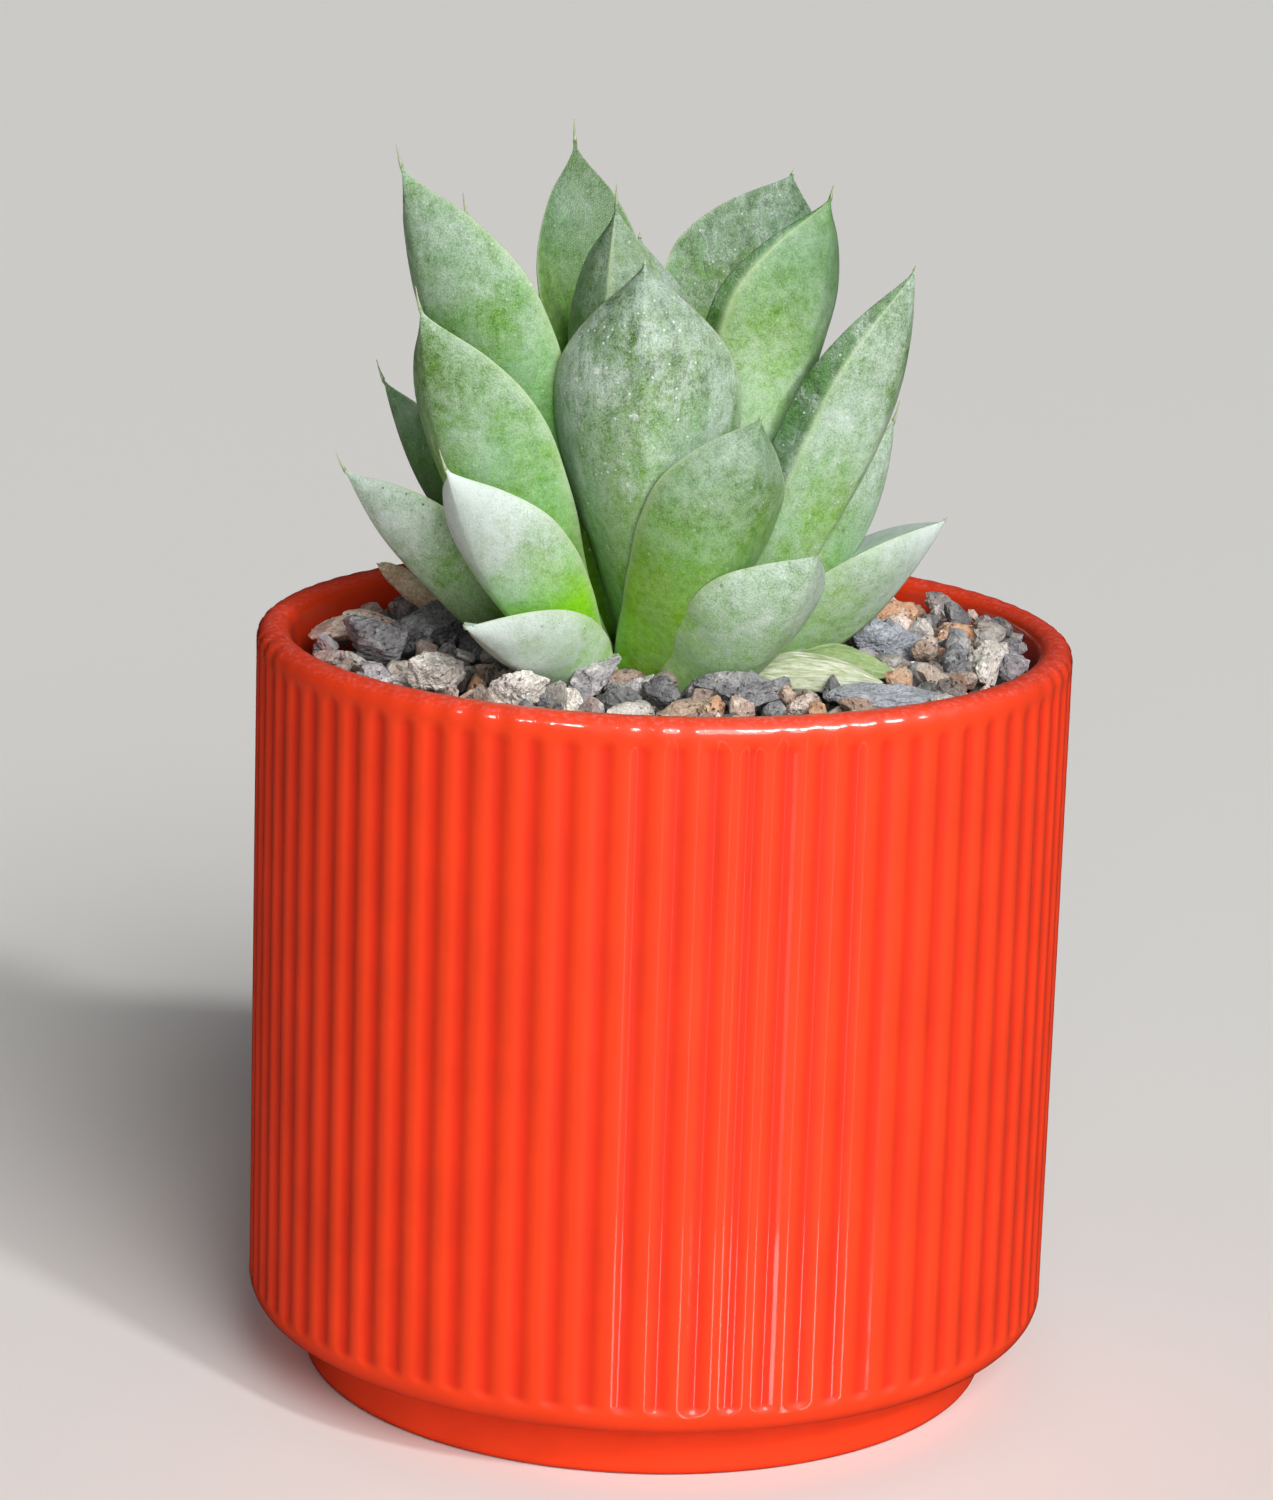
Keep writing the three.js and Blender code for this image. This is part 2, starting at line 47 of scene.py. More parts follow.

# %% [markdown]
# ## The helpers
#
# Colours are read off as sRGB hex codes, but a shader computes in linear light, so one function
# turns them. One function adds a shader node with its settings and links, and two short loops chain
# such nodes: sums and products of patterns, and films of colour laid over each other. Points and
# faces become a piece of the object: it rides on the root body, gets its material and stands for the
# CAD nodes of the same thing.

# %% Helpers
def linear(code):
    """sRGB hex to linear RGBA. A channel c is c / 12.92 up to 0.04045, and above that
    ((c + 0.055) / 1.055)^2.4."""
    channels = [int(code[i : i + 2], 16) / 255 for i in (1, 3, 5)]
    straight = [c / 12.92 if c <= 0.04045 else ((c + 0.055) / 1.055) ** 2.4 for c in channels]
    return (*straight, 1.0)


def feed(tree, node, inputs):
    """Gives a node its inputs, by name or in the sockets' order: each is a value, or the socket that
    feeds it."""
    for name, value in inputs.items() if isinstance(inputs, dict) else enumerate(inputs):
        if isinstance(value, bpy.types.NodeSocket):
            tree.links.new(value, node.inputs[name])
        else:
            node.inputs[name].default_value = value


def add_node(tree, kind, inputs=(), out=0, **settings):
    """Adds a node with its inputs and returns one of its outputs. Settings are its attributes."""
    node = tree.nodes.new("ShaderNode" + kind)
    for name, value in settings.items():
        setattr(node, name, value)
    feed(tree, node, inputs)
    return node.outputs[out]


def combine(tree, operation, *values):
    """Folds sockets and numbers together, from the left, with one operation."""
    total = values[0]
    for value in values[1:]:
        total = add_node(tree, "Math", (total, value), operation=operation)
    return total


def lay_films(tree, colour, films):
    """Lays films over a colour, one after the other: a film is its share and its hex code."""
    for share, film in films:
        colour = add_node(tree, "Mix", {0: share, 6: colour, 7: linear(film)}, 2, data_type="RGBA")
    return colour


def start_material(name):
    """A new material, its node tree and its shader."""
    material = bpy.data.materials.new(name)
    material.use_nodes = True
    return material, material.node_tree, material.node_tree.nodes["Principled BSDF"]


def show(name, data):
    """Puts a mesh, a lamp or a camera into the scene as an object."""
    obj = bpy.data.objects.new(name, data)
    bpy.context.collection.objects.link(obj)
    return obj


def make_mesh(name, points, faces, smooth=True):
    """A mesh object from points in millimetres, (n, 3), and faces, each a row of point numbers."""
    mesh = bpy.data.meshes.new(name)
    mesh.from_pydata((np.reshape(points, (-1, 3)) * 0.001).tolist(), [], faces)
    mesh.shade_smooth() if smooth else mesh.shade_flat()
    return show(name, mesh)


def add_piece(obj, material, slot, *nodes):
    """Makes obj a piece of the object, which stands for these CAD nodes."""
    obj.data.materials.append(material)
    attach(obj, "root")
    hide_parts(*nodes)


def paint(obj, **fields):
    """Stores numbers or colours on the mesh's points, for its material to read."""
    for name, values in fields.items():
        values = np.asarray(values, float)
        kind = "FLOAT" if values.ndim == 1 else "FLOAT_COLOR"
        field = obj.data.attributes.new(name, kind, "POINT")
        field.data.foreach_set("value" if kind == "FLOAT" else "color", values.ravel())


def ease(x):
    """Half a cosine from 0 to 1 while x goes from 0 to 1."""
    return (1 - np.cos(np.pi * np.clip(x, 0, 1))) / 2


def grid_faces(rows, columns):
    """Quads between the rows of a grid whose last column meets its first, facing out of a tube
    whose columns run counter-clockwise seen from its last row."""
    i, j = np.meshgrid(np.arange(rows - 1), np.arange(columns), indexing="ij")
    k = (j + 1) % columns
    corners = [i * columns + j, i * columns + k, (i + 1) * columns + k, (i + 1) * columns + j]
    return np.stack(corners, -1).reshape(-1, 4).tolist()


def closed_tube(points):
    """Points and faces of a tube from its points (rows, columns, 3), with a pole at each end."""
    rows, columns = points.shape[:2]
    last = rows * columns
    j = np.arange(columns)
    k = (j + 1) % columns
    first_cap = np.stack([k, j, np.full(columns, last)], -1)
    end = (rows - 1) * columns
    last_cap = np.stack([end + j, end + k, np.full(columns, last + 1)], -1)
    poles = np.stack([points[0].mean(0), points[-1].mean(0)])
    whole = np.concatenate([points.reshape(-1, 3), poles])
    return whole, grid_faces(rows, columns) + first_cap.tolist() + last_cap.tolist()


# %% [markdown]
# ## Camera, floor and light
#
# The photograph was taken from a little above, with a long lens and a slight tilt of the camera,
# so the camera's place and angles are set as plain numbers. The stage is a pale floor. Two distant
# lights, one wide and one narrow, shine from the right, and a soft box in front fills the shade.
# A glaze mirrors whatever is around it. Neither floor nor room shows in gloss here, so that its
# red stays deep, and the lip's white dashes and the ribs' thin lines come from cards that show in
# gloss alone.

# %% Camera
CAMERA_AT = np.array([0.0, -570.0, 224.0])
PITCH, YAW, ROLL = np.radians([13.79, -0.33, 1.79])
FOCAL_LENGTH_PIXELS = 4403
PHOTO_HEIGHT_PIXELS = 1500

forward = np.array([np.sin(YAW) * np.cos(PITCH), np.cos(YAW) * np.cos(PITCH), -np.sin(PITCH)])
right = np.cross(forward, UP) / np.linalg.norm(np.cross(forward, UP))
above = np.cross(right, forward)
right, above = (
    right * np.cos(ROLL) + above * np.sin(ROLL),
    above * np.cos(ROLL) - right * np.sin(ROLL),
)
camera_data = bpy.data.cameras.new("camera")
camera_data.lens = camera_data.sensor_width * FOCAL_LENGTH_PIXELS / PHOTO_HEIGHT_PIXELS
camera = show("camera", camera_data)
axes = Matrix([right, above, -forward]).transposed().to_4x4()
camera.matrix_world = Matrix.Translation(Vector(CAMERA_AT * 0.001)) @ axes
bpy.context.scene.camera = camera
bpy.context.scene.view_settings.view_transform = "Standard"
print("camera lens in mm:", round(camera_data.lens, 1))

# %% Floor
FLOOR_HALF_SIZE = 6000
corners = np.array([[-1, -1, 0], [1, -1, 0], [1, 1, 0], [-1, 1, 0]]) * FLOOR_HALF_SIZE
floor = make_mesh("studio_floor", corners, [[0, 1, 2, 3]])
floor_paint, tree, shader = start_material("matt studio floor paint")
feed(tree, shader, {"Base Color": linear("#ECEAE6"), "Roughness": 0.9, "Specular IOR Level": 0})
floor.data.materials.append(floor_paint)
floor.visible_glossy = False  # so the pot's edges stay deep red

# %% Lights
POT_MIDDLE = (0, 0, 45)
RIM_MIDDLE = (0, 0, 100)
LIP_CARD_AWAY, LIP_CARD_ANGLE, LIP_CARD_TALL = 1000, 36, 190
LIP_WATTS_PER_WIDTH = 0.026
LIP_CARDS = ((-43, 20), (-29, 110), (10, 80), (36, 340), (64, 360))  # azimuth, width
LOW_CARD_TALL, TALL_CARD_AT, TALL_CARD_SIZE = 34, 32, (5, 120)
RIB_CARDS = (  # x, y and width, height of the low one's middle, watts of the low and the tall one
    (60, -98, 6, -3, 0.0042, 0.0028),
    (20, -114, 5, -4, 0.003, 0.0024),
)


def soft_box(name, at, aim, size, watts, shape="RECTANGLE"):
    """An area lamp at a place in millimetres, turned to face another place."""
    data = bpy.data.lights.new(name, "AREA")
    data.shape = shape
    data.size, data.size_y = np.array(size) * 0.001
    data.energy = watts
    lamp = show(name, data)
    gaze = Vector(aim) - Vector(at)
    lamp.visible_camera = False
    turned = gaze.to_track_quat("-Z", "Y").to_matrix().to_4x4()
    lamp.matrix_world = Matrix.Translation(Vector(at) * 0.001) @ turned
    return lamp


def gloss_card(*placing):
    """A soft box that shows in gloss alone: it draws a highlight and lights nothing."""
    soft_box(*placing).visible_diffuse = False


def towards(azimuth, height):
    """Unit vector to a light, in degrees; azimuth goes round to the right from the camera's side."""
    azimuth, height = np.radians([azimuth, height])
    level = np.cos(height)
    return np.array([np.sin(azimuth) * level, -np.cos(azimuth) * level, np.sin(height)])


def sun(name, azimuth, height, energy, width):
    """A distant light that is as wide as this many degrees."""
    data = bpy.data.lights.new(name, "SUN")
    data.energy = energy
    data.angle = np.radians(width)
    away = Vector(towards(azimuth, height))
    show(name, data).matrix_world = away.to_track_quat("Z", "Y").to_matrix().to_4x4()


sun("glint_light", 40, 37, 1.0, 5)
sun("main_light", 22, 34, 2.2, 30)
for azimuth, width in LIP_CARDS:
    at = RIM_MIDDLE + LIP_CARD_AWAY * towards(azimuth, LIP_CARD_ANGLE)
    size = (width, LIP_CARD_TALL)
    gloss_card("lip_card", at, RIM_MIDDLE, size, LIP_WATTS_PER_WIDTH * width)
for x, y, width, low, low_watts, tall_watts in RIB_CARDS:
    low_at, low_size, tall_at = (x, y, low), (width, LOW_CARD_TALL), (x, y, TALL_CARD_AT)
    gloss_card("rib_card_low", low_at, POT_MIDDLE, low_size, low_watts, "ELLIPSE")
    gloss_card("rib_card_tall", tall_at, POT_MIDDLE, TALL_CARD_SIZE, tall_watts, "ELLIPSE")
front = soft_box("front_light", (120, -900, 260), (0, 0, 110), (500, 400), 2.6)
front.visible_glossy = False
world = bpy.data.worlds.new("pale room")
world.use_nodes = True
room = {"Color": linear("#E6E8EA"), "Strength": 0.16}
feed(world.node_tree, world.node_tree.nodes["Background"], room)
bpy.context.scene.world = world
world.cycles_visibility.glossy = False
print("lights:", len(bpy.data.lights))

# %% [markdown]
# ## The pot's shape
#
# The pot is slip-cast: its outside has 75 vertical grooves with soft round ribs between them, a
# plain band under a rounded lip, a rounded shoulder and a smooth foot ring that stands back. The
# shape is one closed profile, turned about the axis. A corner of the profile is rounded with an
# arc, and each groove is a long scoop with half-round ends, taken off the outer wall's radius.

# %% Pot profile
POT_RADIUS = 54
POT_HEIGHT = 101
POT_CORNERS = [  # radius, height, rounding
    (6, 3, 0.6), (40, 3, 1.2), (41, 0, 0.8), (46.4, 0, 1.4), (46.4, 8.1, 0.5),
    (POT_RADIUS, 8.1, 3.3), (POT_RADIUS, POT_HEIGHT, 2.2), (49.5, POT_HEIGHT, 2.0),
    (49, 9, 4), (6, 9, 0.8),
]
ARC_STEPS = 8
LONGEST_SIDE = 16


def round_corners(corners, steps):
    """Rounds each corner with an arc of radius r that leaves and meets its sides at the distance
    r / tan(a / 2), where a is the angle between them; its points are evenly stepped in angle."""
    flat = np.array([c[:2] for c in corners], float)
    before, after = np.roll(flat, 1, 0) - flat, np.roll(flat, -1, 0) - flat
    before /= np.linalg.norm(before, axis=1, keepdims=True)
    after /= np.linalg.norm(after, axis=1, keepdims=True)
    half = np.arccos(np.clip((before * after).sum(1), -1, 1)) / 2
    radius = np.array([c[2] for c in corners])
    inward = (before + after) / np.linalg.norm(before + after, axis=1, keepdims=True)
    middle = flat + inward * (radius / np.sin(half))[:, None]
    start = flat + before * (radius / np.tan(half))[:, None] - middle
    end = flat + after * (radius / np.tan(half))[:, None] - middle
    sweep = np.pi - 2 * half
    t = np.linspace(0, 1, steps)[None, :, None]
    angle = sweep[:, None, None]
    arc = np.sin((1 - t) * angle) * start[:, None] + np.sin(t * angle) * end[:, None]
    arc = arc / np.sin(angle)
    return (middle[:, None] + arc).reshape(-1, 2)


def refine(profile, longest):
    """Splits the sides of a closed profile that are longer than this."""
    following = np.roll(profile, -1, 0)
    lengths = np.linalg.norm(following - profile, axis=1)
    counts = np.ceil(lengths / longest).astype(int).clip(1)
    shares = np.concatenate([np.arange(n) / n for n in counts])[:, None]
    profile, following = np.repeat(profile, counts, 0), np.repeat(following, counts, 0)
    return profile * (1 - shares) + following * shares


pot_profile = refine(round_corners(POT_CORNERS, ARC_STEPS), LONGEST_SIDE)
print("points in the pot's profile:", len(pot_profile))

# %% Pot with ribs
RIBS = 75
STEPS_PER_RIB = 12
GROOVE_DEPTH = 0.44
GROOVE_HALF_WIDTH = 0.46  # of the distance between ribs
GROOVE_LOW, GROOVE_HIGH = 12.6, 96.6
GROOVE_END_LOW, GROOVE_END_HIGH = 1.4, 2.2
WALL_LOW, WALL_HIGH = 11, 99  # the straight part of the outer wall
OUTER_SKIN = 3.4  # how far in from the outer radius a row still belongs to the outside
FOOT_HEIGHT = 8
TAPER = 0.2  # the wall leans in by this much at the top
LIP_WAVE = 0.08  # the ribs show through the lip's outer rounding
END_ROWS = 9
MIDDLE_ROWS = 4
RIB_AXIS_ANGLE = -TURN / 4


def groove(angle, z):
    """How deep the groove is at an angle and height: cos^2 of the distance from the groove's centre
    line, measured in half widths across it and in end lengths past its ends, and 0 from 1 on."""
    phase = (angle - RIB_AXIS_ANGLE) * RIBS / TURN
    across = np.abs(phase - np.floor(phase) - 0.5) / GROOVE_HALF_WIDTH
    below, over = (GROOVE_LOW - z) / GROOVE_END_LOW, (z - GROOVE_HIGH) / GROOVE_END_HIGH
    past = np.maximum(0, np.maximum(below, over))
    away = np.clip(np.hypot(across, past), 0, 1)
    return np.cos(np.pi / 2 * away) ** 2


# The scooped ends need rows of their own, close together, in the outer wall.
radius, level = pot_profile.T
on_wall = np.flatnonzero((radius > POT_RADIUS - 0.01) & (level > WALL_LOW) & (level < WALL_HIGH))
kept_low, kept_high = pot_profile[: on_wall[0]], pot_profile[on_wall[-1] + 1 :]
wall_z = np.concatenate([
    np.linspace(GROOVE_LOW - GROOVE_END_LOW, GROOVE_LOW, END_ROWS),
    np.linspace(GROOVE_LOW + 4, GROOVE_HIGH - 4, MIDDLE_ROWS),
    np.linspace(GROOVE_HIGH, GROOVE_HIGH + GROOVE_END_HIGH, END_ROWS),
])
wall_z = wall_z[(wall_z > kept_low[-1, 1] + 0.05) & (wall_z < kept_high[0, 1] - 0.05)]
wall = np.stack([np.full(len(wall_z), float(POT_RADIUS)), wall_z], -1)
pot_profile = np.concatenate([kept_low, wall, kept_high])
columns = RIBS * STEPS_PER_RIB
pot_angle = RIB_AXIS_ANGLE + np.arange(columns) * TURN / columns
rows_r, rows_z = pot_profile[:, :1], pot_profile[:, 1:]
near_outside = rows_r > POT_RADIUS - OUTER_SKIN
scoop = np.where(near_outside & (rows_z > FOOT_HEIGHT), groove(pot_angle[None, :], rows_z), 0)
# A fired pot is never quite round, and its lip is never quite even.
slump = 0.12 * np.sin(2 * pot_angle + 1.0) + 0.07 * np.sin(3 * pot_angle)
pot_r = rows_r - GROOVE_DEPTH * scoop - (TAPER - slump) * (rows_z / POT_HEIGHT) ** 2
unequal = 1 + 0.8 * np.sin(11 * pot_angle + 2 * np.sin(4 * pot_angle))
ghost = LIP_WAVE * np.cos(RIBS * (pot_angle - RIB_AXIS_ANGLE)) * unequal
pot_r = pot_r + ghost * near_outside * ease((rows_z - GROOVE_HIGH) / 3)
pot_z = rows_z + 0 * pot_r
pot_points = np.stack([pot_r * np.cos(pot_angle), pot_r * np.sin(pot_angle), pot_z], -1)
wrap = len(pot_points) * columns  # the profile is closed, so the last row's quads meet the first
faces = (np.array(grid_faces(len(pot_points) + 1, columns)) % wrap).tolist()
pot = make_mesh("glazed_pot", pot_points, faces)
paint(pot, groove=scoop.ravel(), height=pot_z.ravel())
print("pot:", len(faces), "quads, grooves", round(TURN * POT_RADIUS / RIBS, 2), "mm apart")

# %% [markdown]
# ## The glaze
#
# The pot is earthenware under an opaque orange-red glaze, fired glossy. Liquid glaze runs off the
# ribs and pools in the grooves, so the ribs are a lighter orange and the grooves a deeper red; that
# deeper red is partly pooled glaze and partly painted shade in the grooves.
# Its surface has a faint orange peel a few millimetres wide, and dust dulls the top of the lip.
# The colour is opaque, so a dielectric shader with a low roughness is enough, with a rough coat for
# the soft veil that a worn glaze shows, and the pooled glaze and painted shade in the grooves are
# read from the groove depth stored on the mesh. The dust is real grains under a millimetre, seen
# where the lip faces up.

# %% Glaze
GLAZE_THIN = "#E83A0E"
# Deeper red of the grooves: pooled glaze, and painted shade in these recesses.
GLAZE_POOLED_SHADE = "#DC2A07"
DUST_ON_LIP = "#EE7C78"
glaze, tree, shader = start_material("orange-red earthenware glaze")
place = add_node(tree, "TexCoord", out="Object")
pooled_and_shaded, height = (
    add_node(tree, "Attribute", out="Fac", attribute_name=name) for name in ("groove", "height")
)
cloud, grains, peel = (  # clouds 11 mm wide, dust 0.7 mm, orange peel 3.6 mm
    add_node(tree, "TexNoise", {
        "Vector": place, "Scale": scale, "Detail": detail, "Roughness": rough
    })
    for scale, detail, rough in ((90, 3, 0.5), (1500, 2, 0.7), (280, 1, 0.5))
)
# Painted shade: the grooves take the deeper red as well as their pooled glaze.
pool_and_shade_share = add_node(tree, "MapRange", (pooled_and_shaded, 0.15, 1), interpolation_type="SMOOTHSTEP")
colour = lay_films(tree, linear(GLAZE_THIN), [(pool_and_shade_share, GLAZE_POOLED_SHADE)])
tone = add_node(tree, "MapRange", (cloud, 0.3, 0.7, 0.93, 1.06))
colour = add_node(tree, "HueSaturation", {"Color": colour, "Value": tone})
facing = add_node(tree, "SeparateXYZ", (add_node(tree, "NewGeometry", out="Normal"),), "Z")
flat_top = add_node(tree, "MapRange", (facing, 0.45, 0.95))
on_lip = add_node(tree, "MapRange", (height, 97, 100))
dust = combine(tree, "MULTIPLY", flat_top, on_lip)
dust_seen = combine(tree, "MULTIPLY", dust, add_node(tree, "MapRange", (grains, 0.48, 0.74)), 0.7)
gloss = add_node(tree, "MapRange", (cloud, 0, 1, 0.06, 0.12))
feed(tree, shader, {
    "Base Color": lay_films(tree, colour, [(dust_seen, DUST_ON_LIP)]),
    "Roughness": add_node(tree, "Math", (dust, 0.35, gloss), operation="MULTIPLY_ADD"),
    "IOR": 1.52,
    "Specular IOR Level": 0.3,
    "Coat Weight": 0.4,
    "Coat Roughness": 0.55,
    "Normal": add_node(tree, "Bump", {"Height": peel, "Strength": 0.35, "Distance": 0.0001}),
})
add_piece(pot, glaze, "glaze", "pot")
print("glaze thin", GLAZE_THIN, "pooled_and_shaded", GLAZE_POOLED_SHADE)

# %% [markdown]
# ## The leaves' shape
#
# A leaf is thick and firm: nearly flat above, rounded and keeled below, widest at two thirds of its
# length, with a fine, curved bristle at its tip. Its spine is a quadratic curve from the foot to the
# tip. Across it stands a ring of points, half a flat hollow face and half a rounded back, whose
# width and depth are functions of the share of the length. All 25 leaves are the same function with
# other numbers, which were judged leaf by leaf; those at the back are out of view and go on the same
# spiral. A row gives the tip's place, the height of the base, how far out the foot stands, the width
# and what bends it, and then how its skin is painted.

# %% Leaf table
ROSETTE = np.array([-3.0, -2.0, 0.0])
LEAF_DEFAULTS = {
    "bow": 0, "sweep": 0, "shift": 0, "neck": 0.45, "roll": 0, "widest": 0.66, "bristle": 3.2,
    "keel": 0.12, "band": None, "fresh": 0.35, "bloom": (0.1, 0.35), "streaks": 0.3, "spots": 0.2,
    "tone": (1, 1), "flecks": 0.15, "specks": 0,
}
# A row's fresh and tone numbers carry painted light and shade as well as the leaf's own colour.
LEAVES = {
    "leaf_heart_front": dict(
        tip=(-8, -5, 157), base=106, foot=3, width=15, roll=-40, keel=0.35, fresh=0.5,
        bloom=(0.05, 0.27), spots=0.4, tone=(0.85, 0.68), flecks=0.5,
    ),
    "leaf_heart_right": dict(
        tip=(-5, 7, 151.5), base=105, foot=4, width=18, bristle=0.8, bloom=(0.2, 0.35),
        tone=(0.8, 0.7), flecks=0.8,
    ),
    "leaf_top_back": dict(
        tip=(-14, 14, 163), base=104, foot=5, width=17, sweep=0.5, widest=0.7, fresh=1.0,
        bloom=(0.0, 0.1), bristle=3.15, streaks=0.1, tone=(1.75, 0.54), flecks=0.3,
    ),
    "leaf_heart_back": dict(tip=(-3, 18, 144), base=103, foot=6, width=18),
    "leaf_top_back_right": dict(
        tip=(15, 20, 159), base=102, foot=4, width=24, sweep=1.5, roll=-20, widest=0.74, bristle=0.8,
        fresh=0.5, bloom=(0.0, 0.22), spots=0.6, tone=(0.85, 0.7), flecks=1.0,
    ),
    "leaf_top_right": dict(
        tip=(19, -15, 160), base=102, foot=5, width=23, bow=-1.5, roll=10, widest=0.74,
        bristle=1.8, fresh=1.0, bloom=(1.0, 0.1), streaks=0.1, band=-0.9, tone=(2.0, 0.82),
        flecks=0.2,
    ),
    "leaf_top_back_left": dict(tip=(-28, 12, 153), base=101, foot=6, width=20),
    "leaf_top_left": dict(
        tip=(-35, -14, 162), base=101, foot=6, width=25, bow=-2, roll=-15, widest=0.7, fresh=0.25,
        bloom=(0.0, 0.38), streaks=0.3, spots=0.3, tone=(0.72, 0.97), flecks=0.3,
    ),
    "leaf_high_front": dict(
        tip=(-4, -23, 152), base=100, foot=4.5, shift=1.8, width=24, bow=3.6, widest=0.68,
        bristle=0.8, fresh=0.7, bloom=(0.32, 0.34), streaks=0.5, spots=0.8, tone=(0.95, 0.6),
        flecks=1.0,
    ),
    "leaf_high_right": dict(
        tip=(30, -14, 151), base=99, foot=8, width=20.5, bow=1, roll=15, bristle=0.8, band=-0.8,
        fresh=0.8, bloom=(0.36, 0.42), streaks=0.4, spots=0.5, tone=(1.1, 0.68), flecks=0.5,
    ),
    "leaf_high_left": dict(
        tip=(-32, -20, 145), base=99, foot=8, width=23, roll=-10, fresh=0.7, bloom=(0.12, 0.33),
        streaks=0.4, spots=0.3, tone=(1.0, 0.92), flecks=0.3,
    ),
    "leaf_mid_back_left": dict(tip=(-17, 26, 134), base=98, foot=8, width=20),
    "leaf_mid_back": dict(tip=(5, 27, 137), base=98, foot=8, width=20),
    "leaf_mid_back_right": dict(tip=(26, 15, 134), base=98, foot=8, width=20),
    "leaf_mid_left": dict(
        tip=(-38, 4, 132), base=98, foot=8, width=18, bow=-1, roll=-20, fresh=0.2,
        bloom=(0.0, 0.14), tone=(0.5, 0.65),
    ),
    "leaf_mid_right": dict(
        tip=(29, 2, 129), base=98, foot=9, width=18, bow=1, roll=15, fresh=0.8, bloom=(0.2, 0.6),
        tone=(1.05, 0.82),
    ),
    "leaf_mid_front_right": dict(
        tip=(11, -29, 134), base=98, foot=9, shift=-1.4, neck=0.72, width=19, bow=1.2,
        sweep=-1.9, roll=5, bristle=0.8, fresh=0.9, bloom=(0.08, 0.25), streaks=0.3, spots=0.3,
        tone=(1.05, 0.7), flecks=0.2,
    ),
    "leaf_mid_front_left": dict(
        tip=(-28, -27, 126), base=96, foot=9.5, shift=1.7, width=19, bow=-1, sweep=0.2, roll=-5,
        fresh=1.0, bloom=(-0.38, 1.05), tone=(1.4, 1),
    ),
    "leaf_low_left": dict(
        tip=(-42, -8, 122), base=96, foot=9, width=18, bow=-1, roll=-20, fresh=0.2,
        bloom=(0.05, 0.75), tone=(0.6, 0.95), flecks=0.3, specks=1.0,
    ),
    "leaf_low_right": dict(
        tip=(36, -3, 117), base=96, foot=9, width=17, thick=6.5, bow=-2, roll=5, bristle=0.8,
        keel=0.3, fresh=0.8, bloom=(0.28, 0.9), tone=(1.15, 1), flecks=0.4,
    ),
    "leaf_low_front_right": dict(
        tip=(19, -29, 117), base=95, foot=12.5, shift=-3, neck=0.55, width=18.5, bow=-1,
        roll=10, widest=0.58, bristle=0.8, fresh=0.9, bloom=(0.3, 0.66), spots=0.3,
        tone=(1.15, 0.95), specks=0.5,
    ),
    "leaf_low_front_left": dict(
        tip=(-25, -32, 107), base=95, foot=11, shift=2, width=17, bow=-3, roll=-15,
        widest=0.55, bristle=0.8, fresh=1.0, bloom=(0.45, 0.95), tone=(1.2, 1.1), specks=0.8,
    ),
    "leaf_low_back_left": dict(
        tip=(-31, 22, 116), base=96, foot=9, width=18, bow=-1, bloom=(0.1, 0.7)
    ),
    "leaf_low_back": dict(tip=(-8, 34, 117), base=96, foot=9, width=18, bow=-1, bloom=(0.1, 0.7)),
    "leaf_low_back_right": dict(tip=(16, 30, 118), base=96, foot=9, width=18, bloom=(0.1, 0.7)),
}
print(len(LEAVES), "leaves")

# %% Leaf shape
LEAF_ROWS = 64
LEAF_COLUMNS = 96
BRISTLE_ROWS = 10
BRISTLE_RADIUS = 0.3
BRISTLE_END = 0.06  # its radius at the end
THICKNESS_SHARE = 0.3  # of the width
CUP = 0.18  # how hollow the upper face is, as a share of half the width
WAVE_HEIGHT = 0.16


def half_width(leaf, s):
    """Half the width: from the neck's share it eases up to the full width at the widest place, then
    falls as a cosine to the tip, whose power grows there, so that the tip is drawn out."""
    neck = leaf["neck"] + (1 - leaf["neck"]) * ease(s / leaf["widest"])
    u = np.clip((s - leaf["widest"]) / (1 - leaf["widest"]), 0, 1)
    drawn = 0.06 + 0.08 * leaf["bristle"]
    shoulder = np.cos(np.pi / 2 * u) ** (0.95 + drawn * ease((u - 0.6) / 0.4))
    return leaf["width"] / 2 * np.where(s < leaf["widest"], neck, shoulder)


def back_depth(leaf, s):
    """The rounded back's depth: a quarter sine up to two fifths of the length, then a cosine."""
    depth = leaf.get("thick", leaf["width"] * THICKNESS_SHARE)
    rising = 0.75 + 0.25 * np.sin(np.pi / 2 * np.clip(s / 0.4, 0, 1))
    falling = np.cos(np.pi / 2 * np.clip((s - 0.4) / 0.6, 0, 1) ** 1.25) ** 0.85
    return depth * np.where(s < 0.4, rising, falling)


def unit(vectors):
    """Vectors of length 1."""
    return vectors / np.linalg.norm(vectors, axis=-1, keepdims=True)


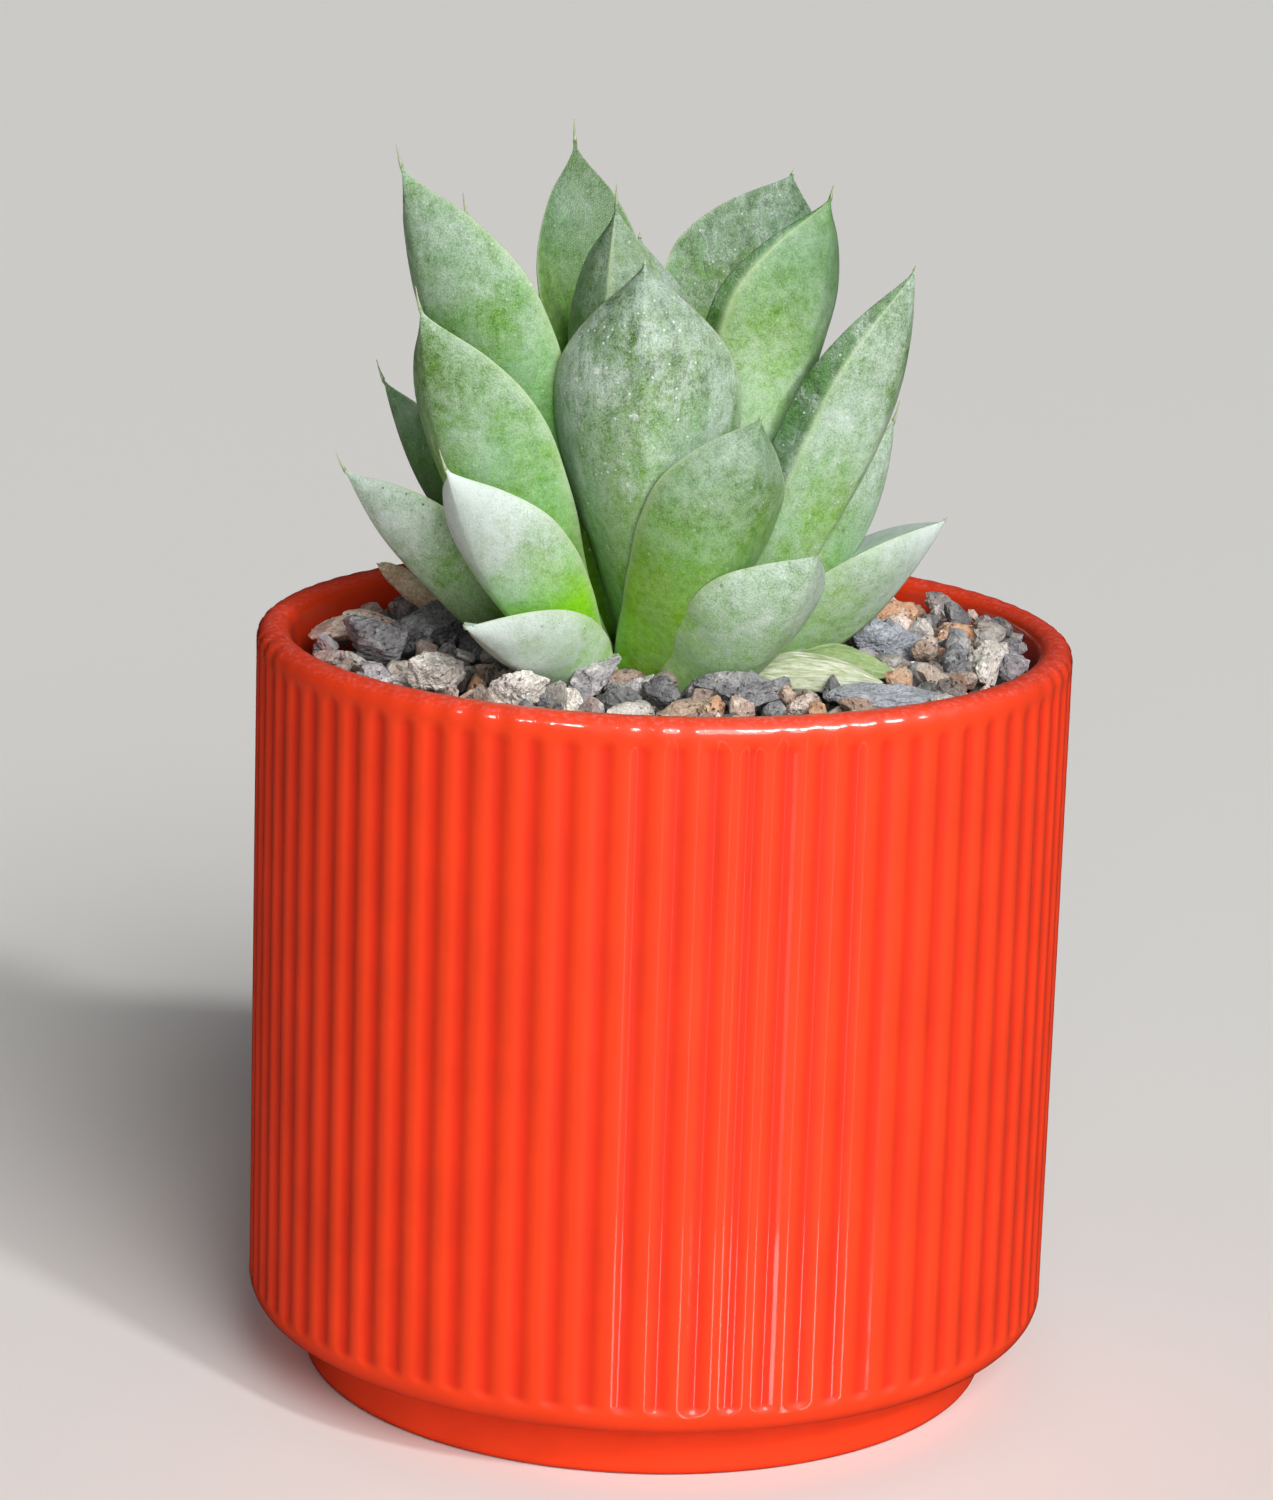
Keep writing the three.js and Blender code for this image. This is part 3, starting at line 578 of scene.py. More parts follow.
def leaf_points(leaf, uneven):
    """The leaf's rings. The spine is (1 - s)^2 foot + 2 s (1 - s) control + s^2 tip. A point is the
    spine's point, plus half the width times v along the side, plus the depth times the lens minus
    the cup, both along the back. v and w are the cosine and sine round the ring. On the back the
    lens is |w|^1.5 + keel (1 - |v|)^3, on the upper face it is -0.1 w^2. uneven adds low waves,
    because no leaf is perfectly even. The bristle's rings go on from the tip, turning up."""
    tip = np.array(leaf["tip"], float)
    out = unit((tip - ROSETTE) * [1, 1, 0])
    across = np.cross(UP, out)
    foot = ROSETTE * [1, 1, 0] + UP * leaf["base"] + out * leaf["foot"] + across * leaf["shift"]
    outward = unit(np.cross(across, tip - foot))
    control = (foot + tip) / 2 + 2 * leaf["bow"] * outward + 2 * leaf["sweep"] * across
    s = (1 - (1 - np.linspace(0, 1, LEAF_ROWS)) ** 1.25)[:, None]  # closer rows near the tip
    spine = (1 - s) ** 2 * foot + 2 * s * (1 - s) * control + s**2 * tip
    tangent = unit((1 - s) * (control - foot) + s * (tip - control))
    back = unit(np.cross(across, tangent))
    side = np.cross(tangent, back)
    roll = np.radians(leaf["roll"]) * np.minimum(1, 0.35 + s)
    turn, keep = np.sin(roll), np.cos(roll)
    side, back = side * keep + back * turn, back * keep - side * turn

    angle = np.arange(LEAF_COLUMNS) * TURN / LEAF_COLUMNS
    v, w = np.cos(angle)[None, :], np.sin(angle)[None, :]
    keeled = np.abs(w) ** 1.5 + leaf["keel"] * (1 - np.abs(v)) ** 3
    lens = np.where(w < 0, keeled, -0.1 * w**2)
    half = np.maximum(half_width(leaf, s), BRISTLE_RADIUS)
    depth = np.maximum(back_depth(leaf, s), BRISTLE_RADIUS)
    waves = uneven.uniform(0, TURN, 6)
    wave = np.sin(5 * s + 2 * v + waves[0]) + np.sin(9 * s - 3 * v + waves[1]) * 0.6
    wave = wave + np.sin(15 * s + waves[2]) * 0.25
    fading = np.sin(np.pi * np.clip(s, 0, 1)) ** 0.5
    rim = 1 + 0.012 * np.sin(14 * s + waves[3]) + 0.008 * np.sin(31 * s + waves[4])
    push = depth * lens - CUP * half * v**2 + WAVE_HEIGHT * wave * fading
    ring = spine[:, None] + (half * rim * v)[..., None] * side[:, None]
    ring = ring + push[..., None] * back[:, None]

    t = np.linspace(0, 1, BRISTLE_ROWS)[1:, None]
    end = leaf["bristle"] * (0.5 * t * tangent[-1] + 0.5 * t**1.6 * UP)
    radius = ((BRISTLE_RADIUS - BRISTLE_END) * (1 - t) ** 1.3 + BRISTLE_END)[..., None]
    rod = tip + end
    bristle = rod[:, None] + radius * (v[..., None] * side[-1] - w[..., None] * back[-1])
    return np.concatenate([ring, bristle]), np.concatenate([s[:, 0], 1 + t[:, 0]]), v[0], w[0]


sample = {**LEAF_DEFAULTS, **LEAVES["leaf_high_front"]}
print("widest leaf in mm:", round(2 * float(half_width(sample, np.array([sample["widest"]]))[0]), 1))

# %% [markdown]
# ## The leaves' colour, stored on the mesh
#
# A haworthia's skin is green from the chlorophyll under it and pale where its wax bloom and lime
# from hard water lie on it. The bases are young, a bright yellow-green; on leaves given as less
# fresh, a darker green at the base is painted shade among the leaves. The tips are old and most
# covered. Each leaf's green is also scaled from base to tip by its tone pair. That pair is partly
# the leaf's own tone and partly painted light and shade, where the leaf lies in light or in the
# shade of others. These slow changes follow the leaf, so they are worked out per point from the
# share of the length and stored on the mesh, and the material adds only the fine pattern.

# %% Leaf paint
YOUNG_GREEN = "#90C24C"
SHADE_GREEN = "#3C7024"
FULL_GREEN = "#6FAB41"
OLD_GREEN = "#517A40"
SHADED_BAND_GREEN = "#3B6628"
BRISTLE_TONE = "#A3AC90"
leaf_pieces = []


def leaf_paint(leaf, s, v, w):
    """The green: young at the base when the leaf is fresh, otherwise a darker green of painted
    shade, full in the middle and old at the tip. The tone pair then scales it from base to tip, and
    so paints each leaf's light and shade as well as its own tone. The bloom's amount eases from its
    value at the base to its value at the tip. Lines are a few columns of the grid wide: both
    margins, and the keel or the edge of a band whose darker green is partly painted shade."""
    young, shade, full, old, dark, horn = (
        np.array(linear(code))
        for code in (YOUNG_GREEN, SHADE_GREEN, FULL_GREEN, OLD_GREEN, SHADED_BAND_GREEN, BRISTLE_TONE)
    )
    share = s[:, None]
    # Painted shade: a leaf that is less fresh gets the darker shade green at its base.
    base = shade + (young - shade) * leaf["fresh"]
    middle = full + (young - full) * 0.5 * leaf["fresh"]
    green = base + (middle - base) * ease(share / 0.6)
    green = green + (old - green) * ease((share - 0.4) / 0.6) * 0.8
    # Partly painted light and shade: the tone pair darkens leaves that lie in shade and brightens
    # lit bases.
    tone = leaf["tone"][0] + (leaf["tone"][1] - leaf["tone"][0]) * ease(share / 0.85)
    green = green * tone
    green = green + (horn - green) * ease((share - 0.98) / 0.3)
    low, high = leaf["bloom"]
    grid = np.ones((len(s), len(v)))
    bloom = ((low + (high - low) * ease((s - 0.1) / 0.9)) * (s < 1.001))[:, None] * grid
    flecks = leaf["flecks"] * ease((share - 0.35) / 0.45) * grid
    green = green[:, None] * grid[..., None]
    lines = np.abs(v) ** 40 * (np.abs(w) < 0.35) * grid
    # The band is the inner face along one margin. It has less bloom and more flecks, and its darker
    # green is partly its own and partly painted shade on that face.
    if leaf["band"]:
        band = (w < 0) * (v < leaf["band"]) * grid
        green = green + (dark - green) * band[..., None]
        bloom = bloom * (1 - 0.7 * band)
        flecks = flecks + 0.5 * band * ease((share - 0.2) / 0.3)
        lines = lines * (v > 0) + 0.8 * np.exp(-(((v - leaf["band"]) / 0.03) ** 2)) * (w < 0)
    elif leaf["keel"] > 0.2:
        lines = lines + np.exp(-((v / 0.06) ** 2)) * (w < 0)
    specks = leaf["specks"] * ease((share - 0.35) / 0.3) * (share < 1)
    specks = specks * ease((np.abs(v) - 0.7) / 0.25)
    return green, bloom, lines * (share < 1), flecks * (share < 1), specks


def with_poles(field):
    """A value for each point of the grid, then one for each pole, as closed_tube orders them."""
    flat = field.reshape(field.shape[0] * field.shape[1], -1)
    return np.concatenate([flat, flat[:1], flat[-1:]]).squeeze()


for number, (name, row) in enumerate(LEAVES.items()):
    leaf = {**LEAF_DEFAULTS, **row}
    points, s, v, w = leaf_points(leaf, np.random.default_rng(100 + number))
    blade = make_mesh(name.replace("leaf_", "") + "_leaf", *closed_tube(points))
    green, bloom, lines, flecks, specks = leaf_paint(leaf, s, v, w)
    streaks, spots = (leaf[key] * np.ones(lines.shape) for key in ("streaks", "spots"))
    fields = dict(
        green=green, bloom=bloom, lines=lines, flecks=flecks, streaks=streaks, spots=spots,
        specks=specks,
    )
    paint(blade, **{key: with_poles(value) for key, value in fields.items()})
    leaf_pieces.append((blade, name))
print("leaf quads each:", len(blade.data.polygons))

# %% [markdown]
# ## The leaf skin
#
# The skin is a waxy cuticle over wet, green tissue. Light enters it, so it has some subsurface
# scattering, and it is half glossy where it is clean. The bloom is a thin, patchy, grey-white
# powder: clouds over a centimetre wide hold patches of some 4 mm, broken up by a mottle of 1 mm
# and a fine grain. Streaks where water ran and dried go down the leaf, so their pattern is drawn
# out along Z. Spots, dots and thin lines of lime lie on it, and a few dark specks of dirt near
# the margins. The bloom has no gloss, so it also roughens the surface.

# %% Leaf skin material
BLOOM_WHITE = "#CFDCD6"
LIME_WHITE = "#E4ECE8"
MARGIN_PALE = "#B4C79A"
DIRT_DARK = "#2F3A20"
skin, tree, shader = start_material("waxy succulent leaf skin with bloom")
place = add_node(tree, "TexCoord", out="Object")
field = {
    name: add_node(tree, "Attribute", out="Fac", attribute_name=name)
    for name in ("bloom", "lines", "flecks", "streaks", "spots", "specks")
}
stored_green = add_node(tree, "Attribute", out="Color", attribute_name="green")
drawn_out, slanted = (
    add_node(tree, "VectorMath", (place, (1, 1, share)), operation="MULTIPLY")
    for share in (0.16, 0.55)
)
clouds, patches, mottle, grain, runs, veins = (
    add_node(tree, "TexNoise", {
        "Vector": at, "Scale": scale, "Detail": detail, "Roughness": rough, "Distortion": bent
    })
    for at, scale, detail, rough, bent in (
        (place, 75, 3, 0.5, 0), (place, 230, 5, 0.6, 0.6), (place, 900, 4, 0.7, 0),
        (place, 4200, 2, 0.7, 0), (drawn_out, 700, 4, 0.65, 0), (slanted, 800, 4, 0.65, 0.3),
    )
)
# Each pattern's usual range is spread over minus to plus an amount.
*even, run, ragged = (
    add_node(tree, "MapRange", (pattern, low, high, -amount, amount), clamp=False)
    for pattern, low, high, amount in (
        (clouds, 0.35, 0.65, 0.4), (patches, 0.3, 0.7, 0.55), (mottle, 0.3, 0.7, 0.35),
        (grain, 0.3, 0.7, 0.7), (runs, 0.38, 0.66, 0.5), (mottle, 0.3, 0.7, 0.2),
    )
)
variation = combine(tree, "ADD", *even, combine(tree, "MULTIPLY", run, field["streaks"]))
evenness = combine(tree, "SUBTRACT", 1.2, field["bloom"])
uneven = add_node(tree, "Math", (variation, evenness, 1), operation="MULTIPLY_ADD")
cover = add_node(tree, "Math", (uneven, field["bloom"]), operation="MULTIPLY", use_clamp=True)
print("skin patterns: clouds 13 mm, patches 4 mm, mottle 1.1 mm, grain 0.25 mm, runs 1.4 mm wide")

# %% Spots of lime
# Each cell of a Voronoi pattern holds one spot, whose size is drawn by the cell's random colour.
big_cells, small_cells = (
    add_node(tree, "TexVoronoi", {"Vector": place, "Scale": scale}) for scale in (430, 1300)
)
big, small = (
    add_node(tree, "SeparateColor", (cells.node.outputs["Color"],)).node.outputs
    for cells in (big_cells, small_cells)
)
spot_kinds = (  # the draw, the draw a spot starts from, its largest size, distance, soft edge
    (big[0], 0.45, 0.22, combine(tree, "ADD", big_cells, ragged), (-0.02, 0.06)),
    (small[1], 0.7, 0.3, small_cells, (0, 0.1)),
    (small[0], 0.5, 0.4, small_cells, (0, 0.08)),
)
marks = []
for draw, first, largest, away, edge in spot_kinds:
    size = add_node(tree, "MapRange", (draw, first, 1, 0, largest))
    marks.append(add_node(tree, "MapRange", (combine(tree, "SUBTRACT", size, away), *edge)))
spot, dot, dirt = marks
# Flecks are the thin level lines of a drawn-out noise, broken up by the patches.
off_line = add_node(tree, "Math", (combine(tree, "SUBTRACT", veins, 0.5),), operation="ABSOLUTE")
vein = add_node(tree, "MapRange", (off_line, 0.012, 0.04, 1, 0))
where, there = (add_node(tree, "MapRange", (patches, low, 0.6)) for low in (0.42, 0.46))
lime = combine(
    tree, "MAXIMUM",
    combine(tree, "MULTIPLY", spot, where, field["spots"], 0.75),
    combine(tree, "MULTIPLY", dot, field["spots"], 0.9),
    combine(tree, "MULTIPLY", vein, there, field["flecks"], 0.26),
)
dirt_seen = combine(tree, "MULTIPLY", dirt, field["specks"], 0.8)
print("lime spots 1 mm, dots and dirt 0.5 mm wide at most")

# %% Leaf skin
mottled = add_node(tree, "MapRange", (mottle, 0.25, 0.75, 0.72, 1.28))
wrinkled = add_node(tree, "MapRange", (veins, 0.35, 0.65, -0.35, 0.15))
tone = combine(tree, "ADD", mottled, combine(tree, "MULTIPLY", wrinkled, field["flecks"]))
hue = add_node(tree, "MapRange", (clouds, 0.3, 0.7, 0.485, 0.515))
colour = add_node(
    tree, "HueSaturation", {"Color": stored_green, "Hue": hue, "Saturation": 1.12, "Value": tone}
)
on_lines = combine(tree, "MULTIPLY", field["lines"], 0.6)
films = [(cover, BLOOM_WHITE), (on_lines, MARGIN_PALE), (lime, LIME_WHITE), (dirt_seen, DIRT_DARK)]
relief = combine(
    tree, "ADD", mottle, grain, combine(tree, "MULTIPLY", lime, 0.4),
    combine(tree, "MULTIPLY", veins, field["flecks"], 3),
)
feed(tree, shader, {
    "Base Color": lay_films(tree, colour, films),
    "Roughness": add_node(tree, "MapRange", (cover, 0, 1, 0.36, 0.75)),
    "IOR": 1.42,
    "Specular IOR Level": 0.28,
    "Subsurface Weight": 0.15,
    "Subsurface Radius": (0.6, 1.0, 0.25),
    "Subsurface Scale": 0.002,
    "Normal": add_node(tree, "Bump", {"Height": relief, "Strength": 0.6, "Distance": 0.00014}),
})
for blade, name in leaf_pieces:
    add_piece(blade, skin, "leaf", name)
print("leaf skin on", len(leaf_pieces), "leaves")

# %% [markdown]
# ## Broken stone
#
# Grit is crushed rock: flat breaks that meet at blunt edges. A stone is a ball whose radius in
# each direction is cut short by the nearest of a few random planes, then squashed. Worked out for
# all stones of a kind at once, it is one array formula. The grit's stones have seventy faces each
# and its chips thirty-five; the large loose ones are the same formula on a finer grid with a
# rough surface.

# %% Stone shapes
def ball_grid(rows, columns):
    """Unit directions on a grid of latitudes and longitudes, without the poles."""
    latitude = np.linspace(-np.pi / 2, np.pi / 2, rows + 2)[1:-1, None]
    every_other = np.arange(rows)[:, None] % 2
    longitude = np.arange(columns)[None, :] * TURN / columns + every_other * np.pi / columns
    ring, level = np.cos(latitude), np.sin(latitude) + 0 * longitude
    return np.stack([ring * np.cos(longitude), ring * np.sin(longitude), level], -1)


def broken(directions, random, count, cuts=14, nearest=0.5, farthest=0.86, cap=1.45):
    """Radii, (count, n): the smallest of offset / (normal . direction) over the cutting planes
    that the direction meets, capped so that corners stay blunt."""
    normals = unit(random.normal(size=(count, cuts, 3)))
    offsets = random.uniform(nearest, farthest, (count, cuts))
    facing = np.einsum("ckx,nx->ckn", normals, directions)
    reach = np.where(facing > 0.08, offsets[..., None] / np.maximum(facing, 0.08), 9)
    return np.minimum(reach.min(1), cap)


def turns(random, count, tilt=1.0):
    """Rotation matrices: a turn about Z after a random tilt about X and Y."""
    a = random.uniform(0, TURN, count)
    b, c = (tilt * random.normal(size=count) * 0.5 for _ in range(2))
    one, nil = np.ones(count), np.zeros(count)
    (sin_a, sin_b, sin_c), (cos_a, cos_b, cos_c) = np.sin([a, b, c]), np.cos([a, b, c])
    about_z = np.array([[cos_a, -sin_a, nil], [sin_a, cos_a, nil], [nil, nil, one]])
    about_x = np.array([[one, nil, nil], [nil, cos_b, -sin_b], [nil, sin_b, cos_b]])
    about_y = np.array([[cos_c, nil, sin_c], [nil, one, nil], [-sin_c, nil, cos_c]])
    return np.einsum("ijn,jkn,kln->nil", about_z, about_x, about_y)


def stone_faces(rows, columns):
    """Faces of one stone: the grid and a fan at each pole."""
    return closed_tube(np.zeros((rows, columns, 3)))[1]


def stone_set(places, halves, rotations, random, rows, columns, **cutting):
    """Points (count, n, 3) of many stones at once."""
    grid = ball_grid(rows, columns)
    directions = np.concatenate([grid.reshape(-1, 3), [[0, 0, -1]], [[0, 0, 1]]])
    radii = broken(directions, random, len(places), **cutting)
    shapes = directions[None] * radii[..., None] * np.asarray(halves)[:, None, :]
    return np.einsum("nij,nkj->nki", rotations, shapes) + np.asarray(places)[:, None, :]


STONE_GRID, CHIP_GRID = (6, 10), (4, 7)
print("faces of a stone and a chip:", *(len(stone_faces(*grid)) for grid in (STONE_GRID, CHIP_GRID)))

# %% [markdown]
# ## The bed of grit
#
# The dressing fills the pot to a few millimetres under the lip and leans up to the right and the
# back. Stones of 4 to 8 mm are laid out on a jittered honeycomb in two layers, then pushed apart
# where they crowd, which packs them as shaking the pot would, and chips fill in between. Each gets a
# kind of rock: dark basalt, grey andesite, pale marble, tan pumice or orange lava. A bed of fines
# closes the gaps below, and its near-black colour is painted shade in the gaps between the stones.

# %% Loose stones
LOOSE = {  # node: centre, half lengths, turn and tilt in degrees, kind of rock
    "stone_tan_splinter": ((-32, 17, 100.3), (8, 1.9, 1.6), 148, -26, "splinter"),
    "stone_slab_right": ((29, 2, 99.4), (5.2, 4.2, 2.6), -20, 8, "slate"),
    "stone_long_slab": ((30, -27, 98.4), (7.2, 3.2, 1.6), 8, 3, "slate"),
    "stone_orange_large": ((31, 18, 98.6), (3.8, 3.4, 3.0), 25, 10, "orange"),
    "stone_orange_small": ((39, 8, 98.9), (3.2, 2.7, 2.6), 70, 0, "orange"),
    "stone_tan_flat": ((-41, 6, 98.2), (5.4, 3.3, 1.8), 12, -6, "tan"),
    "stone_dark_left": ((-38, -3, 98.8), (4.4, 3.4, 2.6), -15, 5, "basalt"),
    "stone_dark_behind": ((-31, 6, 98.8), (4.6, 3.6, 3.0), 30, 0, "basalt"),
    "stone_white_left": ((-30, -21, 98.6), (4.0, 3.0, 2.7), 40, 0, "quartz"),
    "stone_white_front": ((-18, -27, 98.2), (3.6, 2.6, 2.3), -10, 0, "quartz"),
    "stone_grey_front": ((-9, -22, 98.8), (4.6, 2.3, 2.2), 55, -12, "grey"),
    "stone_dark_front": ((10, -27, 98.6), (5.0, 2.7, 2.0), -12, 0, "basalt"),
    "stone_white_right": ((43, -4, 98.8), (3.2, 2.6, 2.4), 30, 0, "quartz"),
}
LOOSE_GRID = (26, 40)
THIN_HALF = 1.7  # a sliver or slab this thin is cut farther out, so that it keeps its length
THIN_CUT, BLOCKY_CUT = 0.85, 0.62


def placed_turn(turn, tilt):
    """The rotation that tilts about Y and then turns about Z, in degrees."""
    turn, tilt = np.radians([turn, tilt])
    return np.array(Matrix.Rotation(turn, 3, "Z") @ Matrix.Rotation(tilt, 3, "Y"))


def roughen(points, centre, random, waves=24, height=0.22):
    """Pushes points in and out from the centre by a sum of sine waves in random directions."""
    arms = points - centre
    waves_at = random.normal(size=(waves, 3)) * random.uniform(0.8, 5.0, (waves, 1))
    ripple = np.sin(arms @ waves_at.T + random.uniform(0, TURN, waves)).sum(-1) / np.sqrt(waves)
    lengths = np.linalg.norm(arms, axis=-1).clip(1)
    return centre + arms * (1 + height * ripple / lengths)[..., None]


loose_pieces = []
for number, (node, (centre, half, turn, tilt, rock)) in enumerate(LOOSE.items()):
    random = np.random.default_rng(300 + number)
    rotation = placed_turn(turn, tilt)[None]
    nearest = THIN_CUT if min(half) < THIN_HALF else BLOCKY_CUT
    cutting = dict(cuts=11, nearest=nearest, farthest=0.98, cap=1.3)
    points = stone_set([centre], [half], rotation, random, *LOOSE_GRID, **cutting)[0]
    points = roughen(points, np.array(centre, float), random)
    name = "loose_" + node.replace("stone_", "") + "_stone"
    stone = make_mesh(name, points, stone_faces(*LOOSE_GRID), False)
    loose_pieces.append((stone, node, rock))
print(len(loose_pieces), "loose stones")

# %% Grit layout
GRIT_RADIUS = 48.2
GRIT_EDGE_HEIGHT = 97.6
GRIT_MOUND_HEIGHT = 98.0
GRIT_LEAN = 1.6  # how much higher the bed is at its right edge than in the middle
GRIT_PITCH = 5.0
GRIT_SEAT = -0.3
GRIT_TOUCH = 0.84  # stones settle into each other's corners, so they count as smaller
PUSH_ROUNDS = 40
STEM_CLEAR = 9
CHIPS = 640
LAYERS = ((0.0, 0.6), (-3.2, 0.5))  # height from the top, and the jitter's share of the pitch
random = np.random.default_rng(41)


def grit_height(x, y):
    """The bed's height: an eased fall from the mound to the edge, on a bed that leans up to the
    right and, less, to the back."""
    fall = (GRIT_EDGE_HEIGHT - GRIT_MOUND_HEIGHT) * ease(np.hypot(x, y) / 46)
    return GRIT_MOUND_HEIGHT + fall + GRIT_LEAN * (x + 0.5 * y) / GRIT_RADIUS


def honeycomb(pitch, reach, shift):
    """Places on a honeycomb inside a circle."""
    n = int(reach / pitch) + 2
    i, j = np.meshgrid(np.arange(-n, n + 1), np.arange(-n, n + 1))
    places = np.stack([(i + (j % 2) / 2) * pitch + shift, j * pitch * np.sqrt(0.75) + shift], -1)
    places = places.reshape(-1, 2)
    return places[np.hypot(*places.T) < reach]


grit_places, grit_depths = [], []
for depth, jitter in LAYERS:
    places = honeycomb(GRIT_PITCH, GRIT_RADIUS - 1.5, depth)
    grit_places.append(places + random.uniform(-0.5, 0.5, places.shape) * jitter * GRIT_PITCH)
    grit_depths.append(np.full(len(places), depth))
grit_places, grit_depths = np.concatenate(grit_places), np.concatenate(grit_depths)
kept = np.hypot(*(grit_places - ROSETTE[:2]).T) > STEM_CLEAR
grit_places, grit_depths = grit_places[kept], grit_depths[kept]
count = len(grit_places)
grit_halves = random.uniform([2.0, 1.6, 1.3], [4.0, 3.0, 2.5], (count, 3))
grit_halves = grit_halves * random.uniform(0.7, 1.1, (count, 1))
loose_places = np.array([row[0][:2] for row in LOOSE.values()], float)
loose_reach = np.array([np.sqrt(row[1][0] * row[1][1]) for row in LOOSE.values()])
grit_reach = np.sqrt(grit_halves[:, 0] * grit_halves[:, 1]) * GRIT_TOUCH


def crowding(places, reach, others, other_reach):
    """How far each place has to move from the others: the overlaps along the lines between them."""
    gap = places[:, None] - others[None]
    apart = np.hypot(gap[..., 0], gap[..., 1])
    overlap = np.where(apart > 0, np.clip(reach[:, None] + other_reach[None] - apart, 0, None), 0)
    return gap / apart.clip(0.1)[..., None] * overlap[..., None]


# Push crowded stones apart, a little each round; a loose stone stays where it is.
same_layer = (grit_depths[:, None] == grit_depths[None])[..., None]
on_top = (grit_depths > -1)[:, None, None]
for _ in range(PUSH_ROUNDS):
    by_grit = crowding(grit_places, grit_reach, grit_places, grit_reach)
    grit_places = grit_places + 0.25 * (by_grit * same_layer).sum(1)
    by_loose = crowding(grit_places, grit_reach, loose_places, loose_reach)
    grit_places = grit_places + 0.5 * (by_loose * on_top).sum(1)
    radius = np.hypot(*grit_places.T)
    inside = np.minimum(1, (GRIT_RADIUS - grit_reach * 0.75) / radius.clip(1))
    grit_places = grit_places * inside[:, None]
grit_z = grit_height(*grit_places.T) + grit_depths + GRIT_SEAT + random.uniform(-0.8, 1.0, count)
grit_at = np.column_stack([grit_places, grit_z])
print(count, "grit stones, mean length in mm:", round(float(2 * grit_halves[:, 0].mean()), 1))

# %% Chips
chip_angle = random.uniform(0, TURN, CHIPS)
chip_reach = (GRIT_RADIUS - 1) * np.sqrt(random.uniform(0.05, 1, CHIPS))
chip_places = np.column_stack([chip_reach * np.cos(chip_angle), chip_reach * np.sin(chip_angle)])
chip_z = grit_height(*chip_places.T) + random.uniform(-2.9, 0.6, CHIPS)
chip_at = np.column_stack([chip_places, chip_z])
chip_halves = random.uniform([0.9, 0.7, 0.6], [2.1, 1.6, 1.3], (CHIPS, 3))
print(CHIPS, "chips between the stones")

# %% Grit meshes
ROCK_SHARES = {"basalt": 0.3, "grey": 0.26, "quartz": 0.19, "tan": 0.2, "orange": 0.05}
rock_of = random.choice(list(ROCK_SHARES), count + CHIPS, p=list(ROCK_SHARES.values()))
shapes = [
    stone_set(grit_at, grit_halves, turns(random, count), random, *STONE_GRID),
    stone_set(chip_at, chip_halves, turns(random, CHIPS, 2.0), random, *CHIP_GRID),
]
tables = [  # each stone's faces, with -1 for the corner that a triangle lacks
    np.array([face + [-1] * (4 - len(face)) for face in stone_faces(*grid)])
    for grid in (STONE_GRID, CHIP_GRID)
]
owners = [rock_of[:count], rock_of[count:]]
grit_pieces = []
for rock in ROCK_SHARES:
    points, faces, tones, start = [], [], [], 0
    for shape, table, owner in zip(shapes, tables, owners):
        chosen = np.flatnonzero(owner == rock)
        steps = start + np.arange(len(chosen))[:, None, None] * shape.shape[1]
        rows = np.where(table[None] < 0, -1, table[None] + steps).reshape(-1, 4).tolist()
        faces += [[point for point in face if point >= 0] for face in rows]
        points.append(shape[chosen].reshape(-1, 3))
        tones.append(np.repeat(random.uniform(0, 1, len(chosen)), shape.shape[1]))
        start += len(points[-1])
    heap = make_mesh("grit_" + rock, np.concatenate(points), faces, False)
    tones = np.concatenate(tones)
    paint(heap, tone=tones, stain=(7.3 * tones) % 1)
    grit_pieces.append((heap, rock))
print({rock: int((rock_of == rock).sum()) for rock in ROCK_SHARES})

# %% Bed of fines
FINES_DEPTH = 4.8
FINES_BOTTOM = 86.4
rings, spokes = 30, 96
reach = np.linspace(GRIT_RADIUS + 0.7, 0.6, rings)[:, None]
angle = np.arange(spokes)[None, :] * TURN / spokes
x, y = reach * np.cos(angle), reach * np.sin(angle)
crumbs = 0.5 * np.sin(1.9 * x + 0.7 * y) * np.sin(1.3 * y - 0.6 * x)
fines_top = np.stack([x, y, grit_height(x, y) - FINES_DEPTH + crumbs], -1)
fines_side = np.stack([x[0], y[0], np.full(spokes, FINES_BOTTOM)], -1)[None]
whole, faces = closed_tube(np.concatenate([fines_side, fines_top]))
fines = make_mesh("grit_fines", whole, faces)
print("fines:", len(faces), "faces")

# %% [markdown]
# ## Rock materials
#
# Each rock is a crushed mineral, dull and dry, and dusty from the sack. Basalt is dark grey under
# its dust, andesite mid grey, marble chips off-white, pumice tan, and lava orange with open pores.
# All have crystal speckle under 1 mm and a rough break, so one function with other colours makes
# them: cloudy colour, a crust, pores and grains, with a bump from the same patterns. The grit's
# stones also differ in tone, and some are stained by iron, from two numbers stored per stone.

# %% Rocks
IRON_STAIN = "#B58E6C"
PORE_SHADE = "#241F1D"


